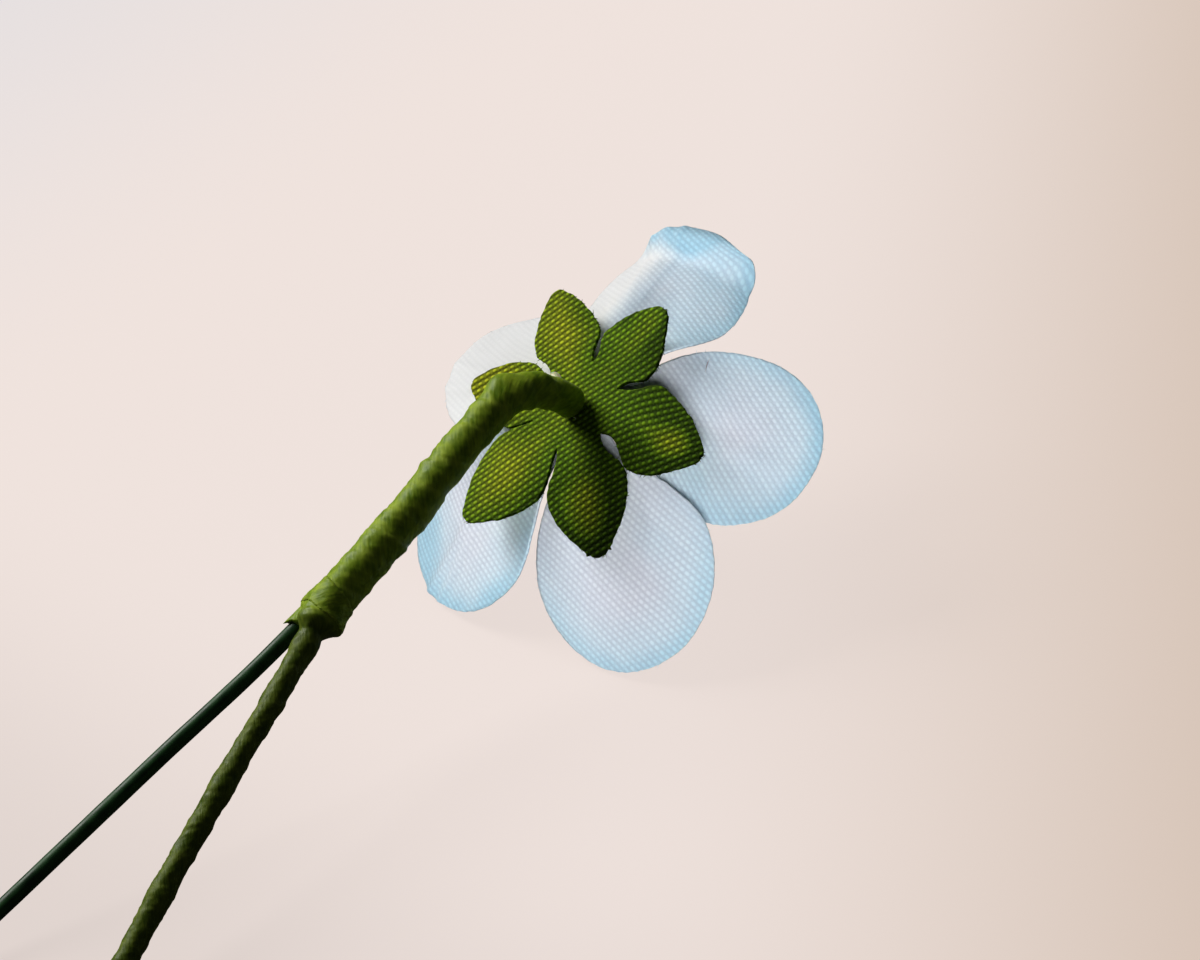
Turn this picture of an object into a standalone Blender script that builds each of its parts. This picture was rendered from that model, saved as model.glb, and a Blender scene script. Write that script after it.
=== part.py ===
"""A fabric speedwell boutonniere, lying on two petal tips and its two stem legs.

A die-cut petal cloth and a die-cut calyx cloth are threaded on a thin wire. Florist's tape binds that wire to
a second, coated wire, which leaves the tape at the fork as the smooth leg. The knobbly leg is the taped wire.
"""

from dataclasses import dataclass
from math import radians

import bmesh
import bpy
import numpy as np
from mathutils import Euler, Vector

MM = 0.001
PARTS = "speedwell_boutonniere"

# Driving dimensions, in millimetres
CLOTH_THICKNESS = 0.6
PETAL_DISC_RADIUS = 3.0
CALYX_DISC_RADIUS = 4.2
WIRE_HOLE_RADIUS = 0.75
CALYX_LIFT = 1.05
FLOWER_WIRE_RADIUS = 0.35
LEG_WIRE_RADIUS = 0.72
TAPE_BORE_RADIUS = 0.65
SLEEVE_BORE_RADIUS = 1.0
SLEEVE_RADIUS = 1.25
NECK_RADIUS = 1.3
MAIN_STEM_RADIUS = 1.5
TAPED_LEG_RADIUS = 0.95
PIP_RADIUS = 1.6
PIP_HEIGHT = 2.3
PIP_GAP = 0.3
PIP_HOLE_DEPTH = 1.5
ROUTE_STEP = 1.6

# The flower's centre above the table, and the turn that takes its back axis from +Z
FLOWER_CENTRE = (16.8, 16.48, 14.59)
HEAD_TURN_DEGREES = (30.5, 6.4, -55.2)

# Wire routes by hand, in millimetres from the flower's centre
NECK_ROUTE = [
    (0.6, 0.6, -1.4), (0.0, 0.0, 0.0), (-0.7, -0.7, 1.5), (-1.5, -1.7, 3.1), (-2.6, -2.8, 4.5),
    (-3.8, -3.7, 5.2), (-5.0, -4.6, 5.4), (-6.1, -5.5, 5.1), (-8.2, -7.4, 4.2),
]
MAIN_ROUTE = [(-12.2, -11.4, 2.1), (-16.3, -15.3, 0.2), (-20.2, -19.4, -1.6)]
TAPED_LEG_ROUTE = [
    (-22.2, -22.5, -2.8), (-24.8, -26.9, -4.3), (-27.7, -32.1, -6.2), (-30.7, -37.6, -8.3),
    (-34.3, -44.5, -11.0), (-37.3, -50.0, -13.72),
]
COATED_WIRE_ROUTE = [
    (-13.4, -10.4, 1.0), (-17.1, -13.9, -0.7), (-21.2, -17.5, -2.4), (-26.5, -21.9, -4.5),
    (-32.9, -26.6, -6.9), (-39.5, -31.8, -9.3), (-46.0, -36.7, -11.8), (-51.7, -41.1, -13.9),
]
SLEEVE_TOP = (-11.8, -9.8, 2.0)
SLEEVE_ROUTE = [SLEEVE_TOP] + COATED_WIRE_ROUTE[:4]
SLEEVE_LENGTH_SHARE = 0.74
BORE_RUN_ON = 0.5
TAPE_LUMPS = [(0.5, 0.2), (0.69, 0.16), (0.83, 0.22), (0.93, 0.14)]
LUMP_SHARE = 0.018


@dataclass(frozen=True)
class Lobe:
    """One petal or sepal of a die-cut cloth. Lengths are millimetres and angles degrees.

    azimuth is where the tip points, slope and bend carry it forward, flare rolls it back, cup curves it
    across, twist lifts one long edge, and creases are (place, height) ridges.
    """

    azimuth: float
    length: float
    half_width: float
    slope: float
    bend: float
    flare: float
    cup: float
    twist: float
    creases: tuple = ()


PETAL_SECTOR_START = 36
PETALS = [
    Lobe(27, 20.4, 7.2, 17, 13, 8, 0.045, 5, ((-0.3, 0.18),)),
    Lobe(111, 20.6, 7.5, 10, 24, 46, 0.070, 6, ((0.55, 0.25),)),
    Lobe(179, 18.8, 6.8, 12, 16, 10, 0.050, 5, ((0.3, 0.2),)),
    Lobe(249.5, 21.3, 8.1, 12, 22, 6, 0.030, 4, ((0.05, 0.35), (0.42, 0.25))),
    Lobe(325, 22.2, 7.7, 11, 22, 4, 0.040, 6, ((0.5, -0.3),)),
]
SEPAL_SECTOR_START = 20
SEPALS = [
    Lobe(18, 12.3, 3.4, 4, 10, 0, 0.05, 0),
    Lobe(84, 10.8, 3.3, -6, 0, 0, 0.06, 0),
    Lobe(145, 11.9, 3.4, -1, 2, 0, 0.06, 0),
    Lobe(202, 10.9, 3.2, -6, 0, 0, 0.06, 0),
    Lobe(262, 12.9, 3.4, -1, 2, 0, 0.06, 0),
    Lobe(322, 12.9, 3.5, 6, 11, 0, 0.05, 0),
]


def ease(value):
    """Rise smoothly from 0 to 1 while value goes from 0 to 1."""
    clipped = np.clip(value, 0.0, 1.0)
    return clipped * clipped * (3.0 - 2.0 * clipped)


@dataclass(frozen=True)
class Outline:
    """How a lobe is cut, in shares of its length.

    It is widest at widest_share, after a rise whose power keeps its root slim. From there it falls, with a power
    and a root that set its fullness, towards meet_share. tip_share is the length that the tip's own arc adds.
    """

    widest_share: float
    rise_power: float
    fall_power: float
    fall_root: float
    tip_share: float
    meet_share: float

    def half_width(self, along, lobe, disc_radius, half_sector):
        """Half width: a narrow root on the disc's rim, rising to the widest place, falling to the tip."""
        root = disc_radius * np.cos(half_sector)
        root_width = disc_radius * np.sin(half_sector)
        widest = self.widest_share * lobe.length
        rise = np.sin(np.pi / 2 * np.clip((along - root) / (widest - root), 0, 1)) ** self.rise_power
        past = np.clip((along - widest) / (self.meet_share * lobe.length - widest), 0, 1)
        fall = (1 - past ** self.fall_power) ** self.fall_root
        rising = root_width + (lobe.half_width - root_width) * rise
        return np.where(along < widest, rising, lobe.half_width * fall)


# A petal ends in a round tip, where cos(36 degrees) of the last stretch is edge; a sepal in a narrow one
PETAL_OUTLINE = Outline(0.62, 1.8, 2.0, 0.5, (1 - 0.62) * (1 - np.cos(np.pi / 5)), 1.0)
SEPAL_OUTLINE = Outline(0.55, 1.6, 1.9, 1.0, 0.025, 1.035)


def flat_lobe(lobe, outline, disc_radius, half_sector, rows, columns):
    """Grid of a lobe as it is cut from flat cloth, from the disc's rim to the tip.

    Returns along and across, each (rows + 1, columns + 1), the first row lying on the rim.
    """
    share = np.linspace(0, 1, rows + 1)[:, None]
    turn = half_sector * np.linspace(-1, 1, columns + 1)[None, :]
    root = disc_radius * np.cos(half_sector)
    edge_along = root + (lobe.length * (1 - outline.tip_share) - root) * share
    middle_along = disc_radius + (lobe.length - disc_radius) * share
    bulge = (np.cos(turn) - np.cos(half_sector)) / (1 - np.cos(half_sector))
    along = edge_along + (middle_along - edge_along) * bulge
    across = outline.half_width(edge_along, lobe, disc_radius, half_sector) * np.sin(turn) / np.sin(half_sector)
    return along, across


def midrib(along, lobe, disc_radius):
    """Radius, height and slope of the lobe's middle line at each length along the cloth."""
    grid = np.linspace(0, lobe.length * 1.02, 240)
    share = np.clip((grid - disc_radius) / (lobe.length - disc_radius), 0, 1)
    slope = radians(lobe.slope) * ease(share / 0.25) + radians(lobe.bend) * share
    slope -= radians(lobe.flare) * ease((share - 0.70) / 0.30)
    steps = np.diff(grid)
    radius = np.concatenate([[0], np.cumsum((np.cos(slope[1:]) + np.cos(slope[:-1])) / 2 * steps)])
    height = -np.concatenate([[0], np.cumsum((np.sin(slope[1:]) + np.sin(slope[:-1])) / 2 * steps)])
    return np.interp(along, grid, radius), np.interp(along, grid, height), np.interp(along, grid, slope)


def crease_height(along, across, lobe, disc_radius):
    """Height of the long pressed ridges that run down a petal."""
    share = np.clip((along - disc_radius) / (lobe.length - disc_radius), 0, 1)
    side = across / lobe.half_width
    height = np.zeros_like(along)
    for place, size in lobe.creases:
        height += size * np.exp(-((side - place * share) / 0.13) ** 2) * ease((share - 0.3) / 0.4)
    return height


def shape_lobe(along, across, lobe, root_azimuth, disc_radius, lift):
    """Bend the flat grid of a lobe into its place round the flower's back axis, in millimetres."""
    radius, height, slope = midrib(along, lobe, disc_radius)
    share = np.clip((along - disc_radius) / (lobe.length - disc_radius), 0, 1)
    curvature = lobe.cup * ease(share / 0.45) + 1e-9
    side = np.sin(across * curvature) / curvature
    drop = (1 - np.cos(across * curvature)) / curvature - crease_height(along, across, lobe, disc_radius)
    twist = radians(lobe.twist) * ease(share)
    turned_side = side * np.cos(twist) + drop * np.sin(twist)
    turned_drop = drop * np.cos(twist) - side * np.sin(twist)
    out = radius - turned_drop * np.sin(slope)
    up = height - turned_drop * np.cos(slope) + lift
    angle = radians(root_azimuth) + radians(lobe.azimuth - root_azimuth) * ease(share / 0.6)
    x = out * np.cos(angle) - turned_side * np.sin(angle)
    y = out * np.sin(angle) + turned_side * np.cos(angle)
    return np.stack([x, y, up], axis=-1)


def die_cut_cloth(name, lobes, outline, first_azimuth, disc_radius, lift, rows, columns):
    """A cloth disc with a wire hole and one lobe for each sector, as one sheet with thickness."""
    half_sector = np.pi / len(lobes)
    sheet = bmesh.new()

    def add_grid(points):
        """Add a grid of points as triangles, all split along the same diagonal."""
        grid = [[sheet.verts.new(point * MM) for point in row] for row in points]
        for lower, upper in zip(grid[:-1], grid[1:]):
            for a, b, c, d in zip(lower[:-1], lower[1:], upper[1:], upper[:-1]):
                sheet.faces.new((a, c, b))
                sheet.faces.new((a, d, c))

    for index, lobe in enumerate(lobes):
        root_azimuth = first_azimuth + 360.0 / len(lobes) * index
        along, across = flat_lobe(lobe, outline, disc_radius, half_sector, rows, columns)
        add_grid(shape_lobe(along, across, lobe, root_azimuth, disc_radius, lift))
        turn = radians(root_azimuth) + half_sector * np.linspace(-1, 1, columns + 1)
        ring = np.linspace(WIRE_HOLE_RADIUS, disc_radius, 3)[:, None]
        add_grid(np.stack([ring * np.cos(turn), ring * np.sin(turn), 0 * ring * turn + lift], axis=-1))
    bmesh.ops.remove_doubles(sheet, verts=sheet.verts, dist=0.01 * MM)
    bmesh.ops.recalc_face_normals(sheet, faces=sheet.faces)
    mesh = bpy.data.meshes.new(name)
    sheet.to_mesh(mesh)
    sheet.free()
    cloth = add_object(name, mesh)
    solidify = cloth.modifiers.new("cloth_thickness", "SOLIDIFY")
    solidify.thickness = CLOTH_THICKNESS * MM
    solidify.offset = 0
    mesh.shade_smooth()
    return cloth


def smooth_route(points, step=ROUTE_STEP):
    """Points about one step apart on a smooth curve through hand-placed points (Catmull-Rom)."""
    knots = [Vector(point) for point in points]
    knots = [2 * knots[0] - knots[1]] + knots + [2 * knots[-1] - knots[-2]]
    route = []
    for before, start, end, after in zip(knots[:-3], knots[1:-2], knots[2:-1], knots[3:]):
        pieces = max(1, round((end - start).length / step))
        for piece in range(pieces):
            t = piece / pieces
            route.append(0.5 * (2 * start + (end - before) * t + (2 * before - 5 * start + 4 * end - after) * t * t
                                + (3 * start - before - 3 * end + after) * t ** 3))
    return route + [knots[-2]]


def add_object(name, data):
    """Make an object from its data and put it in the parts collection."""
    made = bpy.data.objects.new(name, data)
    bpy.data.collections[PARTS].objects.link(made)
    return made


def round_wire(name, route, radii, resolution):
    """A capped round tube along a route, in millimetres, with one radius for each point."""
    curve = bpy.data.curves.new(name, "CURVE")
    curve.dimensions = "3D"
    curve.bevel_depth = MM
    curve.bevel_resolution = resolution
    curve.use_fill_caps = True
    spline = curve.splines.new("POLY")
    spline.points.add(len(route) - 1)
    for point, place, radius in zip(spline.points, route, radii):
        point.co = (*(place * MM), 1.0)
        point.radius = radius
    return add_object(name, curve)


def curve_to_mesh(curve_object):
    """Replace a curve object by its evaluated mesh, with the caps welded on."""
    name = curve_object.name
    graph = bpy.context.evaluated_depsgraph_get()
    mesh = bpy.data.meshes.new_from_object(curve_object.evaluated_get(graph))
    shell = bmesh.new()
    shell.from_mesh(mesh)
    bmesh.ops.remove_doubles(shell, verts=shell.verts, dist=0.01 * MM)
    bmesh.ops.recalc_face_normals(shell, faces=shell.faces)
    shell.to_mesh(mesh)
    shell.free()
    place = curve_object.matrix_world.copy()
    bpy.data.objects.remove(curve_object)
    made = add_object(name, mesh)
    made.matrix_world = place
    return made


def combine(target, other, operation):
    """Join or cut the target by the other solid, apply it, and remove the other."""
    boolean = target.modifiers.new(operation.lower(), "BOOLEAN")
    boolean.operation = operation
    boolean.solver = "MANIFOLD"
    boolean.object = other
    graph = bpy.context.evaluated_depsgraph_get()
    mesh = bpy.data.meshes.new_from_object(target.evaluated_get(graph))
    target.modifiers.clear()
    target.data = mesh
    bpy.data.objects.remove(other)


def material(name, colour, roughness, metallic=0.0):
    """A plain Principled material."""
    made = bpy.data.materials.new(name)
    made.use_nodes = True
    shader = made.node_tree.nodes["Principled BSDF"]
    shader.inputs["Base Color"].default_value = (*colour, 1.0)
    shader.inputs["Roughness"].default_value = roughness
    shader.inputs["Metallic"].default_value = metallic
    return made


def tape_radius(share, fork_share):
    """Radius of the wound tape: slim neck, full main stem, slimmer leg with a few lumps."""
    neck = NECK_RADIUS + (MAIN_STEM_RADIUS - NECK_RADIUS) * float(ease(share / 0.12))
    below = float(ease((share - fork_share + 0.02) / 0.07))
    radius = neck + (TAPED_LEG_RADIUS - neck) * below
    lumps = sum(size * np.exp(-((share - place) / LUMP_SHARE) ** 2) for place, size in TAPE_LUMPS)
    return radius + float(lumps) * (share > TAPE_LUMPS[0][0] / 2)


def build_corolla():
    """The pale blue petal cloth."""
    corolla = die_cut_cloth("corolla", PETALS, PETAL_OUTLINE, PETAL_SECTOR_START, PETAL_DISC_RADIUS, 0.0, 14, 12)
    corolla.data.materials.append(material("petal_cloth", (0.62, 0.74, 0.86), 0.75))
    return corolla


def build_calyx():
    """The green calyx cloth, lying on the back of the petal cloth."""
    calyx = die_cut_cloth("calyx", SEPALS, SEPAL_OUTLINE, SEPAL_SECTOR_START, CALYX_DISC_RADIUS, CALYX_LIFT, 10, 8)
    calyx.data.materials.append(material("calyx_cloth", (0.13, 0.22, 0.02), 0.8))
    return calyx


def build_pip():
    """The bead on the front end of the flower wire: a low dome with a blind hole for the wire."""
    back = -CLOTH_THICKNESS / 2 - PIP_GAP
    bpy.ops.mesh.primitive_uv_sphere_add(segments=20, ring_count=12, radius=1.0)
    pip = bpy.context.object
    pip.name = "centre_pip"
    pip.data.name = "centre_pip"
    dome = bmesh.new()
    dome.from_mesh(pip.data)
    bmesh.ops.bisect_plane(dome, geom=dome.verts[:] + dome.edges[:] + dome.faces[:], plane_co=(0, 0, 0),
                           plane_no=(0, 0, 1), clear_outer=True)
    bmesh.ops.holes_fill(dome, edges=[edge for edge in dome.edges if edge.is_boundary])
    bmesh.ops.scale(dome, vec=(PIP_RADIUS * MM, PIP_RADIUS * MM, PIP_HEIGHT * MM), verts=dome.verts)
    bmesh.ops.translate(dome, vec=(0, 0, back * MM), verts=dome.verts)
    dome.to_mesh(pip.data)
    dome.free()
    for owner in pip.users_collection:
        owner.objects.unlink(pip)
    bpy.data.collections[PARTS].objects.link(pip)
    bpy.ops.mesh.primitive_cylinder_add(vertices=16, radius=TAPE_BORE_RADIUS * MM, depth=2 * PIP_HOLE_DEPTH * MM,
                                        location=(0, 0, back * MM))
    combine(pip, bpy.context.object, "DIFFERENCE")
    pip.data.materials.clear()
    pip.data.materials.append(material("pip_resin", (0.72, 0.66, 0.38), 0.35))
    pip.data.shade_smooth()
    return pip


def build_flower_wire():
    """The thin steel wire from the pip, through the cloths and the tape, to the end of the taped leg."""
    route = smooth_route(NECK_ROUTE + MAIN_ROUTE + TAPED_LEG_ROUTE)
    wire = round_wire("flower_wire", route, [FLOWER_WIRE_RADIUS] * len(route), 1)
    wire.data.materials.append(material("steel_wire", (0.55, 0.55, 0.53), 0.4, 1.0))
    return wire


def build_coated_wire():
    """The second wire: its top is bound into the main stem, the rest is the smooth leg."""
    route = smooth_route(COATED_WIRE_ROUTE)
    wire = round_wire("leg_wire", route, [LEG_WIRE_RADIUS] * len(route), 2)
    wire.data.materials.append(material("green_coated_wire", (0.03, 0.10, 0.04), 0.45))
    return wire


def build_tape():
    """The tape: one wrap from neck to leg end, joined to the sleeve round the second wire, and bored."""
    route = smooth_route(NECK_ROUTE[2:] + MAIN_ROUTE + TAPED_LEG_ROUTE)
    fork = min(range(len(route)), key=lambda i: (route[i] - Vector(MAIN_ROUTE[-1])).length)
    shares = [index / (len(route) - 1) for index in range(len(route))]
    radii = [tape_radius(share, shares[fork]) for share in shares]
    tape = curve_to_mesh(round_wire("binding_tape", route, radii, 4))
    sleeve_path = smooth_route(SLEEVE_ROUTE)
    sleeve_path = sleeve_path[:round(len(sleeve_path) * SLEEVE_LENGTH_SHARE)]
    sleeve_radii = [SLEEVE_RADIUS] * len(sleeve_path)
    combine(tape, curve_to_mesh(round_wire("sleeve_outside", sleeve_path, sleeve_radii, 4)), "UNION")
    bore = smooth_route(NECK_ROUTE + MAIN_ROUTE + TAPED_LEG_ROUTE + [run_on(TAPED_LEG_ROUTE, BORE_RUN_ON)])
    combine(tape, curve_to_mesh(round_wire("wire_bore", bore, [TAPE_BORE_RADIUS] * len(bore), 2)), "DIFFERENCE")
    inside = smooth_route([run_on(COATED_WIRE_ROUTE[1::-1], BORE_RUN_ON)] + COATED_WIRE_ROUTE[:5])
    combine(tape, curve_to_mesh(round_wire("sleeve_bore", inside, [SLEEVE_BORE_RADIUS] * len(inside), 3)),
            "DIFFERENCE")
    tape.data.materials.clear()
    tape.data.materials.append(material("florist_tape", (0.16, 0.24, 0.03), 0.6))
    tape.data.shade_smooth()
    tape.data.set_sharp_from_angle(angle=radians(50))
    return tape


def run_on(route, length):
    """A point that carries a route on past its last point."""
    last, before = Vector(route[-1]), Vector(route[-2])
    return tuple(last + (last - before).normalized() * length)


def main():
    """Build every piece and place it from the flower's centre."""
    for old in list(bpy.data.objects):
        bpy.data.objects.remove(old)
    bpy.context.scene.collection.children.link(bpy.data.collections.new(PARTS))
    centre = add_object("flower_centre", None)
    centre.location = Vector(FLOWER_CENTRE) * MM
    head = add_object("head_frame", None)
    head.parent = centre
    head.rotation_euler = Euler([radians(angle) for angle in HEAD_TURN_DEGREES])
    for piece in (build_corolla(), build_calyx(), build_pip()):
        piece.parent = head
    for piece in (build_flower_wire(), build_coated_wire(), build_tape()):
        piece.parent = centre


main()
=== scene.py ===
"""Looks for the fabric speedwell boutonniere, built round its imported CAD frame.

Two die-cut cloths, petals and sepals, are threaded on a wire. Florist's tape binds that wire to a second, coated
wire, and goes on down the first one as the knobbly leg. Lengths are millimetres until a mesh or a light is made.
"""

import logging
from dataclasses import dataclass, field
from enum import Enum
from functools import cache
from math import radians

import bmesh
import bpy
import numpy as np
from bpy.types import Material, Node, NodeSocket as Socket, NodeTree, Object
from mathutils import Euler, Matrix, Vector


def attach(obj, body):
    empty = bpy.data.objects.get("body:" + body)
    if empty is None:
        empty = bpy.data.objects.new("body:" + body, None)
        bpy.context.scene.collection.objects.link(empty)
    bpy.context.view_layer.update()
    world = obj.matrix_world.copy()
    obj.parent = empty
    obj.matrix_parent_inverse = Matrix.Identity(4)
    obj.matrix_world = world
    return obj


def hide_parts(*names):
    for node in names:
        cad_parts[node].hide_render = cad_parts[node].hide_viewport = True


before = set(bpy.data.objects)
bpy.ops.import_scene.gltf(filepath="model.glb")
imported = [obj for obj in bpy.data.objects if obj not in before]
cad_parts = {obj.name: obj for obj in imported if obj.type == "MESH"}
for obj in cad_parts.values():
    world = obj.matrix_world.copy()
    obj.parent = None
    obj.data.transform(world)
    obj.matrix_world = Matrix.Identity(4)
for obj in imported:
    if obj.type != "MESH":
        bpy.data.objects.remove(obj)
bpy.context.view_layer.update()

LOG = logging.getLogger("speedwell")

Array = np.ndarray
Point = Colour = tuple[float, float, float]

MM = 0.001
TURN = 2 * np.pi
BODY = "root"
PATTERN_MAP = "cut"
PATTERN_SPAN = 60.0
WELD_DISTANCE = 0.0005
LINE_DRAWS = 512
SURFACE_DRAWS = 256
TINY = 1e-9

# Where the flower hangs and how it is turned, as in the CAD source
FLOWER_CENTRE = np.array([16.8, 16.48, 14.59])
HEAD_TURN = np.array(Euler([radians(angle) for angle in (30.5, 6.4, -55.2)]).to_matrix())

# Wire routes, from the flower's centre
WIRE_START = [(0.6, 0.6, -1.4), (0.0, 0.0, 0.0)]
NECK_ROUTE = [
    (-0.7, -0.7, 1.5), (-1.5, -1.7, 3.1), (-2.6, -2.8, 4.5), (-3.8, -3.7, 5.2), (-5.0, -4.6, 5.4),
    (-6.1, -5.5, 5.1), (-8.2, -7.4, 4.2),
]
MAIN_ROUTE = [(-12.2, -11.4, 2.1), (-16.3, -15.3, 0.2), (-20.2, -19.4, -1.6)]
TAPED_LEG_ROUTE = [
    (-22.05, -22.7, -2.8), (-24.6, -27.1, -4.3), (-27.7, -32.1, -6.2), (-30.95, -37.3, -8.3),
    (-34.8, -43.9, -11.0), (-37.85, -49.35, -13.72),
]
COATED_WIRE_ROUTE = [
    (-13.27, -10.66, 1), (-16.97, -14.16, -0.7), (-21.07, -17.76, -2.4), (-26.37, -22.16, -4.5),
    (-32.77, -26.86, -6.9), (-39.37, -32.06, -9.3), (-45.87, -36.96, -11.8), (-51.57, -41.36, -13.9),
]
SLEEVE_TOP = (-11.8, -9.8, 2.0)


def ease(value: Array, start: float = 0.0, end: float = 1.0) -> Array:
    """Rise smoothly from 0 to 1 while value goes from start to end, either of which may be the larger."""
    clipped = np.clip((value - start) / (end - start), 0.0, 1.0)
    return clipped * clipped * (3.0 - 2.0 * clipped)


def unit(vectors: Array) -> Array:
    """Vectors on the last axis, each divided by its length."""
    return vectors / (np.linalg.norm(vectors, axis=-1, keepdims=True) + TINY)


def swung(x: Array, y: Array, angle: Array) -> Array:
    """Places in a plane, turned about its origin by an angle."""
    return np.stack([x * np.cos(angle) - y * np.sin(angle), x * np.sin(angle) + y * np.cos(angle)], axis=-1)


def polar(azimuth: float, reach: float) -> Point:
    """Place on the flat cut at an azimuth in degrees and a reach from its middle."""
    return reach * np.cos(radians(azimuth)), reach * np.sin(radians(azimuth)), 0.0


def turns(sides: int) -> Array:
    """Directions once round, as a row whose last one lies on its first."""
    return np.linspace(0, TURN, sides + 1)[None, :]


def from_head(points: Array) -> Array:
    """Points of the head's frame, +Z along the flower's back axis, carried to their place in the world."""
    return points @ HEAD_TURN.T + FLOWER_CENTRE


def wander(place: Array, spacing: float, seed: int) -> Array:
    """Smooth random line: heights from -1 to 1, one for each spacing, joined by ease curves."""
    heights = np.random.default_rng(seed).uniform(-1, 1, LINE_DRAWS)
    cell = np.asarray(place) / spacing
    low = np.floor(cell).astype(int)
    share = ease(cell - low)
    return heights[low % LINE_DRAWS] * (1 - share) + heights[(low + 1) % LINE_DRAWS] * share


def dents(x: Array, y: Array, seed: int, around: int = 64) -> Array:
    """Smooth random surface: heights from -1 to 1 on a square net of unit cells, joined by ease curves both ways.

    Args:
        x, y: places in cells.
        seed: the draw of the heights.
        around: after this many cells in y the surface repeats, which closes it round a stem.

    Returns:
        The height at each place.
    """
    heights = np.random.default_rng(seed).uniform(-1, 1, (SURFACE_DRAWS, around))
    x, y = np.broadcast_arrays(x, y)
    left, low = np.floor(x).astype(int), np.floor(y).astype(int)
    across, up = ease(x - left), ease(y - low)
    left, right, low, high = left % SURFACE_DRAWS, (left + 1) % SURFACE_DRAWS, low % around, (low + 1) % around
    bottom = heights[left, low] * (1 - across) + heights[right, low] * across
    top = heights[left, high] * (1 - across) + heights[right, high] * across
    return bottom * (1 - up) + top * up


@dataclass(frozen=True)
class Unevenness:
    """Dents round a stem: their height, their length along it, how many go round, their draw and their twist."""

    height: float
    length: float
    around: int
    seed: int
    twist: float = 0.0

    def at(self, arc: Array, turn: Array) -> Array:
        """Height of the dents at lengths along a stem, as a column, and directions round it."""
        place = turn / TURN * self.around + arc * self.twist
        return self.height * dents(arc / self.length, place, self.seed, self.around)


@dataclass
class Patch:
    """A grid of points, row by row, with its pattern coordinates and the values that its finish reads."""

    points: Array
    pattern: Array
    values: dict[str, Array] = field(default_factory=dict)

    def faces(self, first: int) -> Array:
        """Quads numbered from first, which face the way of rows crossed with columns."""
        rows, columns = self.points.shape[:2]
        index = first + np.arange(rows * columns).reshape(rows, columns)
        return np.stack([index[:-1, :-1], index[1:, :-1], index[1:, 1:], index[:-1, 1:]], axis=-1).reshape(-1, 4)


def make_piece(name: str, patches: list[Patch], finish: Material) -> Object:
    """Make one smooth mesh of patches, welded where they meet, and let it ride on the body.

    Args:
        name: the piece's name.
        patches: its grids, in millimetres.
        finish: its material.

    Returns:
        The object, at the origin, with its place in its mesh.
    """
    starts = np.cumsum([0] + [patch.points[..., 0].size for patch in patches])
    points = np.concatenate([patch.points.reshape(-1, 3) for patch in patches]) * MM
    faces = np.concatenate([patch.faces(int(start)) for patch, start in zip(patches, starts)])
    pattern = np.concatenate([patch.pattern.reshape(-1, 2) for patch in patches]) / PATTERN_SPAN + 0.5
    mesh = bpy.data.meshes.new(name)
    mesh.vertices.add(len(points))
    mesh.vertices.foreach_set("co", points.ravel())
    mesh.loops.add(faces.size)
    mesh.loops.foreach_set("vertex_index", faces.ravel())
    mesh.polygons.add(len(faces))
    mesh.polygons.foreach_set("loop_start", np.arange(0, faces.size, 4))
    mesh.update(calc_edges=True)
    mesh.uv_layers.new(name=PATTERN_MAP).data.foreach_set("uv", pattern[faces.ravel()].ravel())
    for key in patches[0].values:
        heights = np.concatenate([np.broadcast_to(p.values[key], p.points.shape[:2]).ravel() for p in patches])
        mesh.attributes.new(key, "FLOAT", "POINT").data.foreach_set("value", heights.astype(np.float32))
    welded = bmesh.new()
    welded.from_mesh(mesh)
    bmesh.ops.remove_doubles(welded, verts=welded.verts, dist=WELD_DISTANCE * MM)
    welded.to_mesh(mesh)
    welded.free()
    mesh.shade_smooth()
    mesh.materials.append(finish)
    piece = bpy.data.objects.new(name, mesh)
    bpy.context.scene.collection.objects.link(piece)
    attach(piece, BODY)
    LOG.info("%s: %d faces", name, len(mesh.polygons))
    return piece


def add_wall(piece: Object, name: str, thickness: float, side: float) -> None:
    """Give a drawn surface its thickness in millimetres, to the side that Solidify's offset names."""
    wall = piece.modifiers.new(name, "SOLIDIFY")
    wall.thickness = thickness * MM
    wall.offset = side


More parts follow.
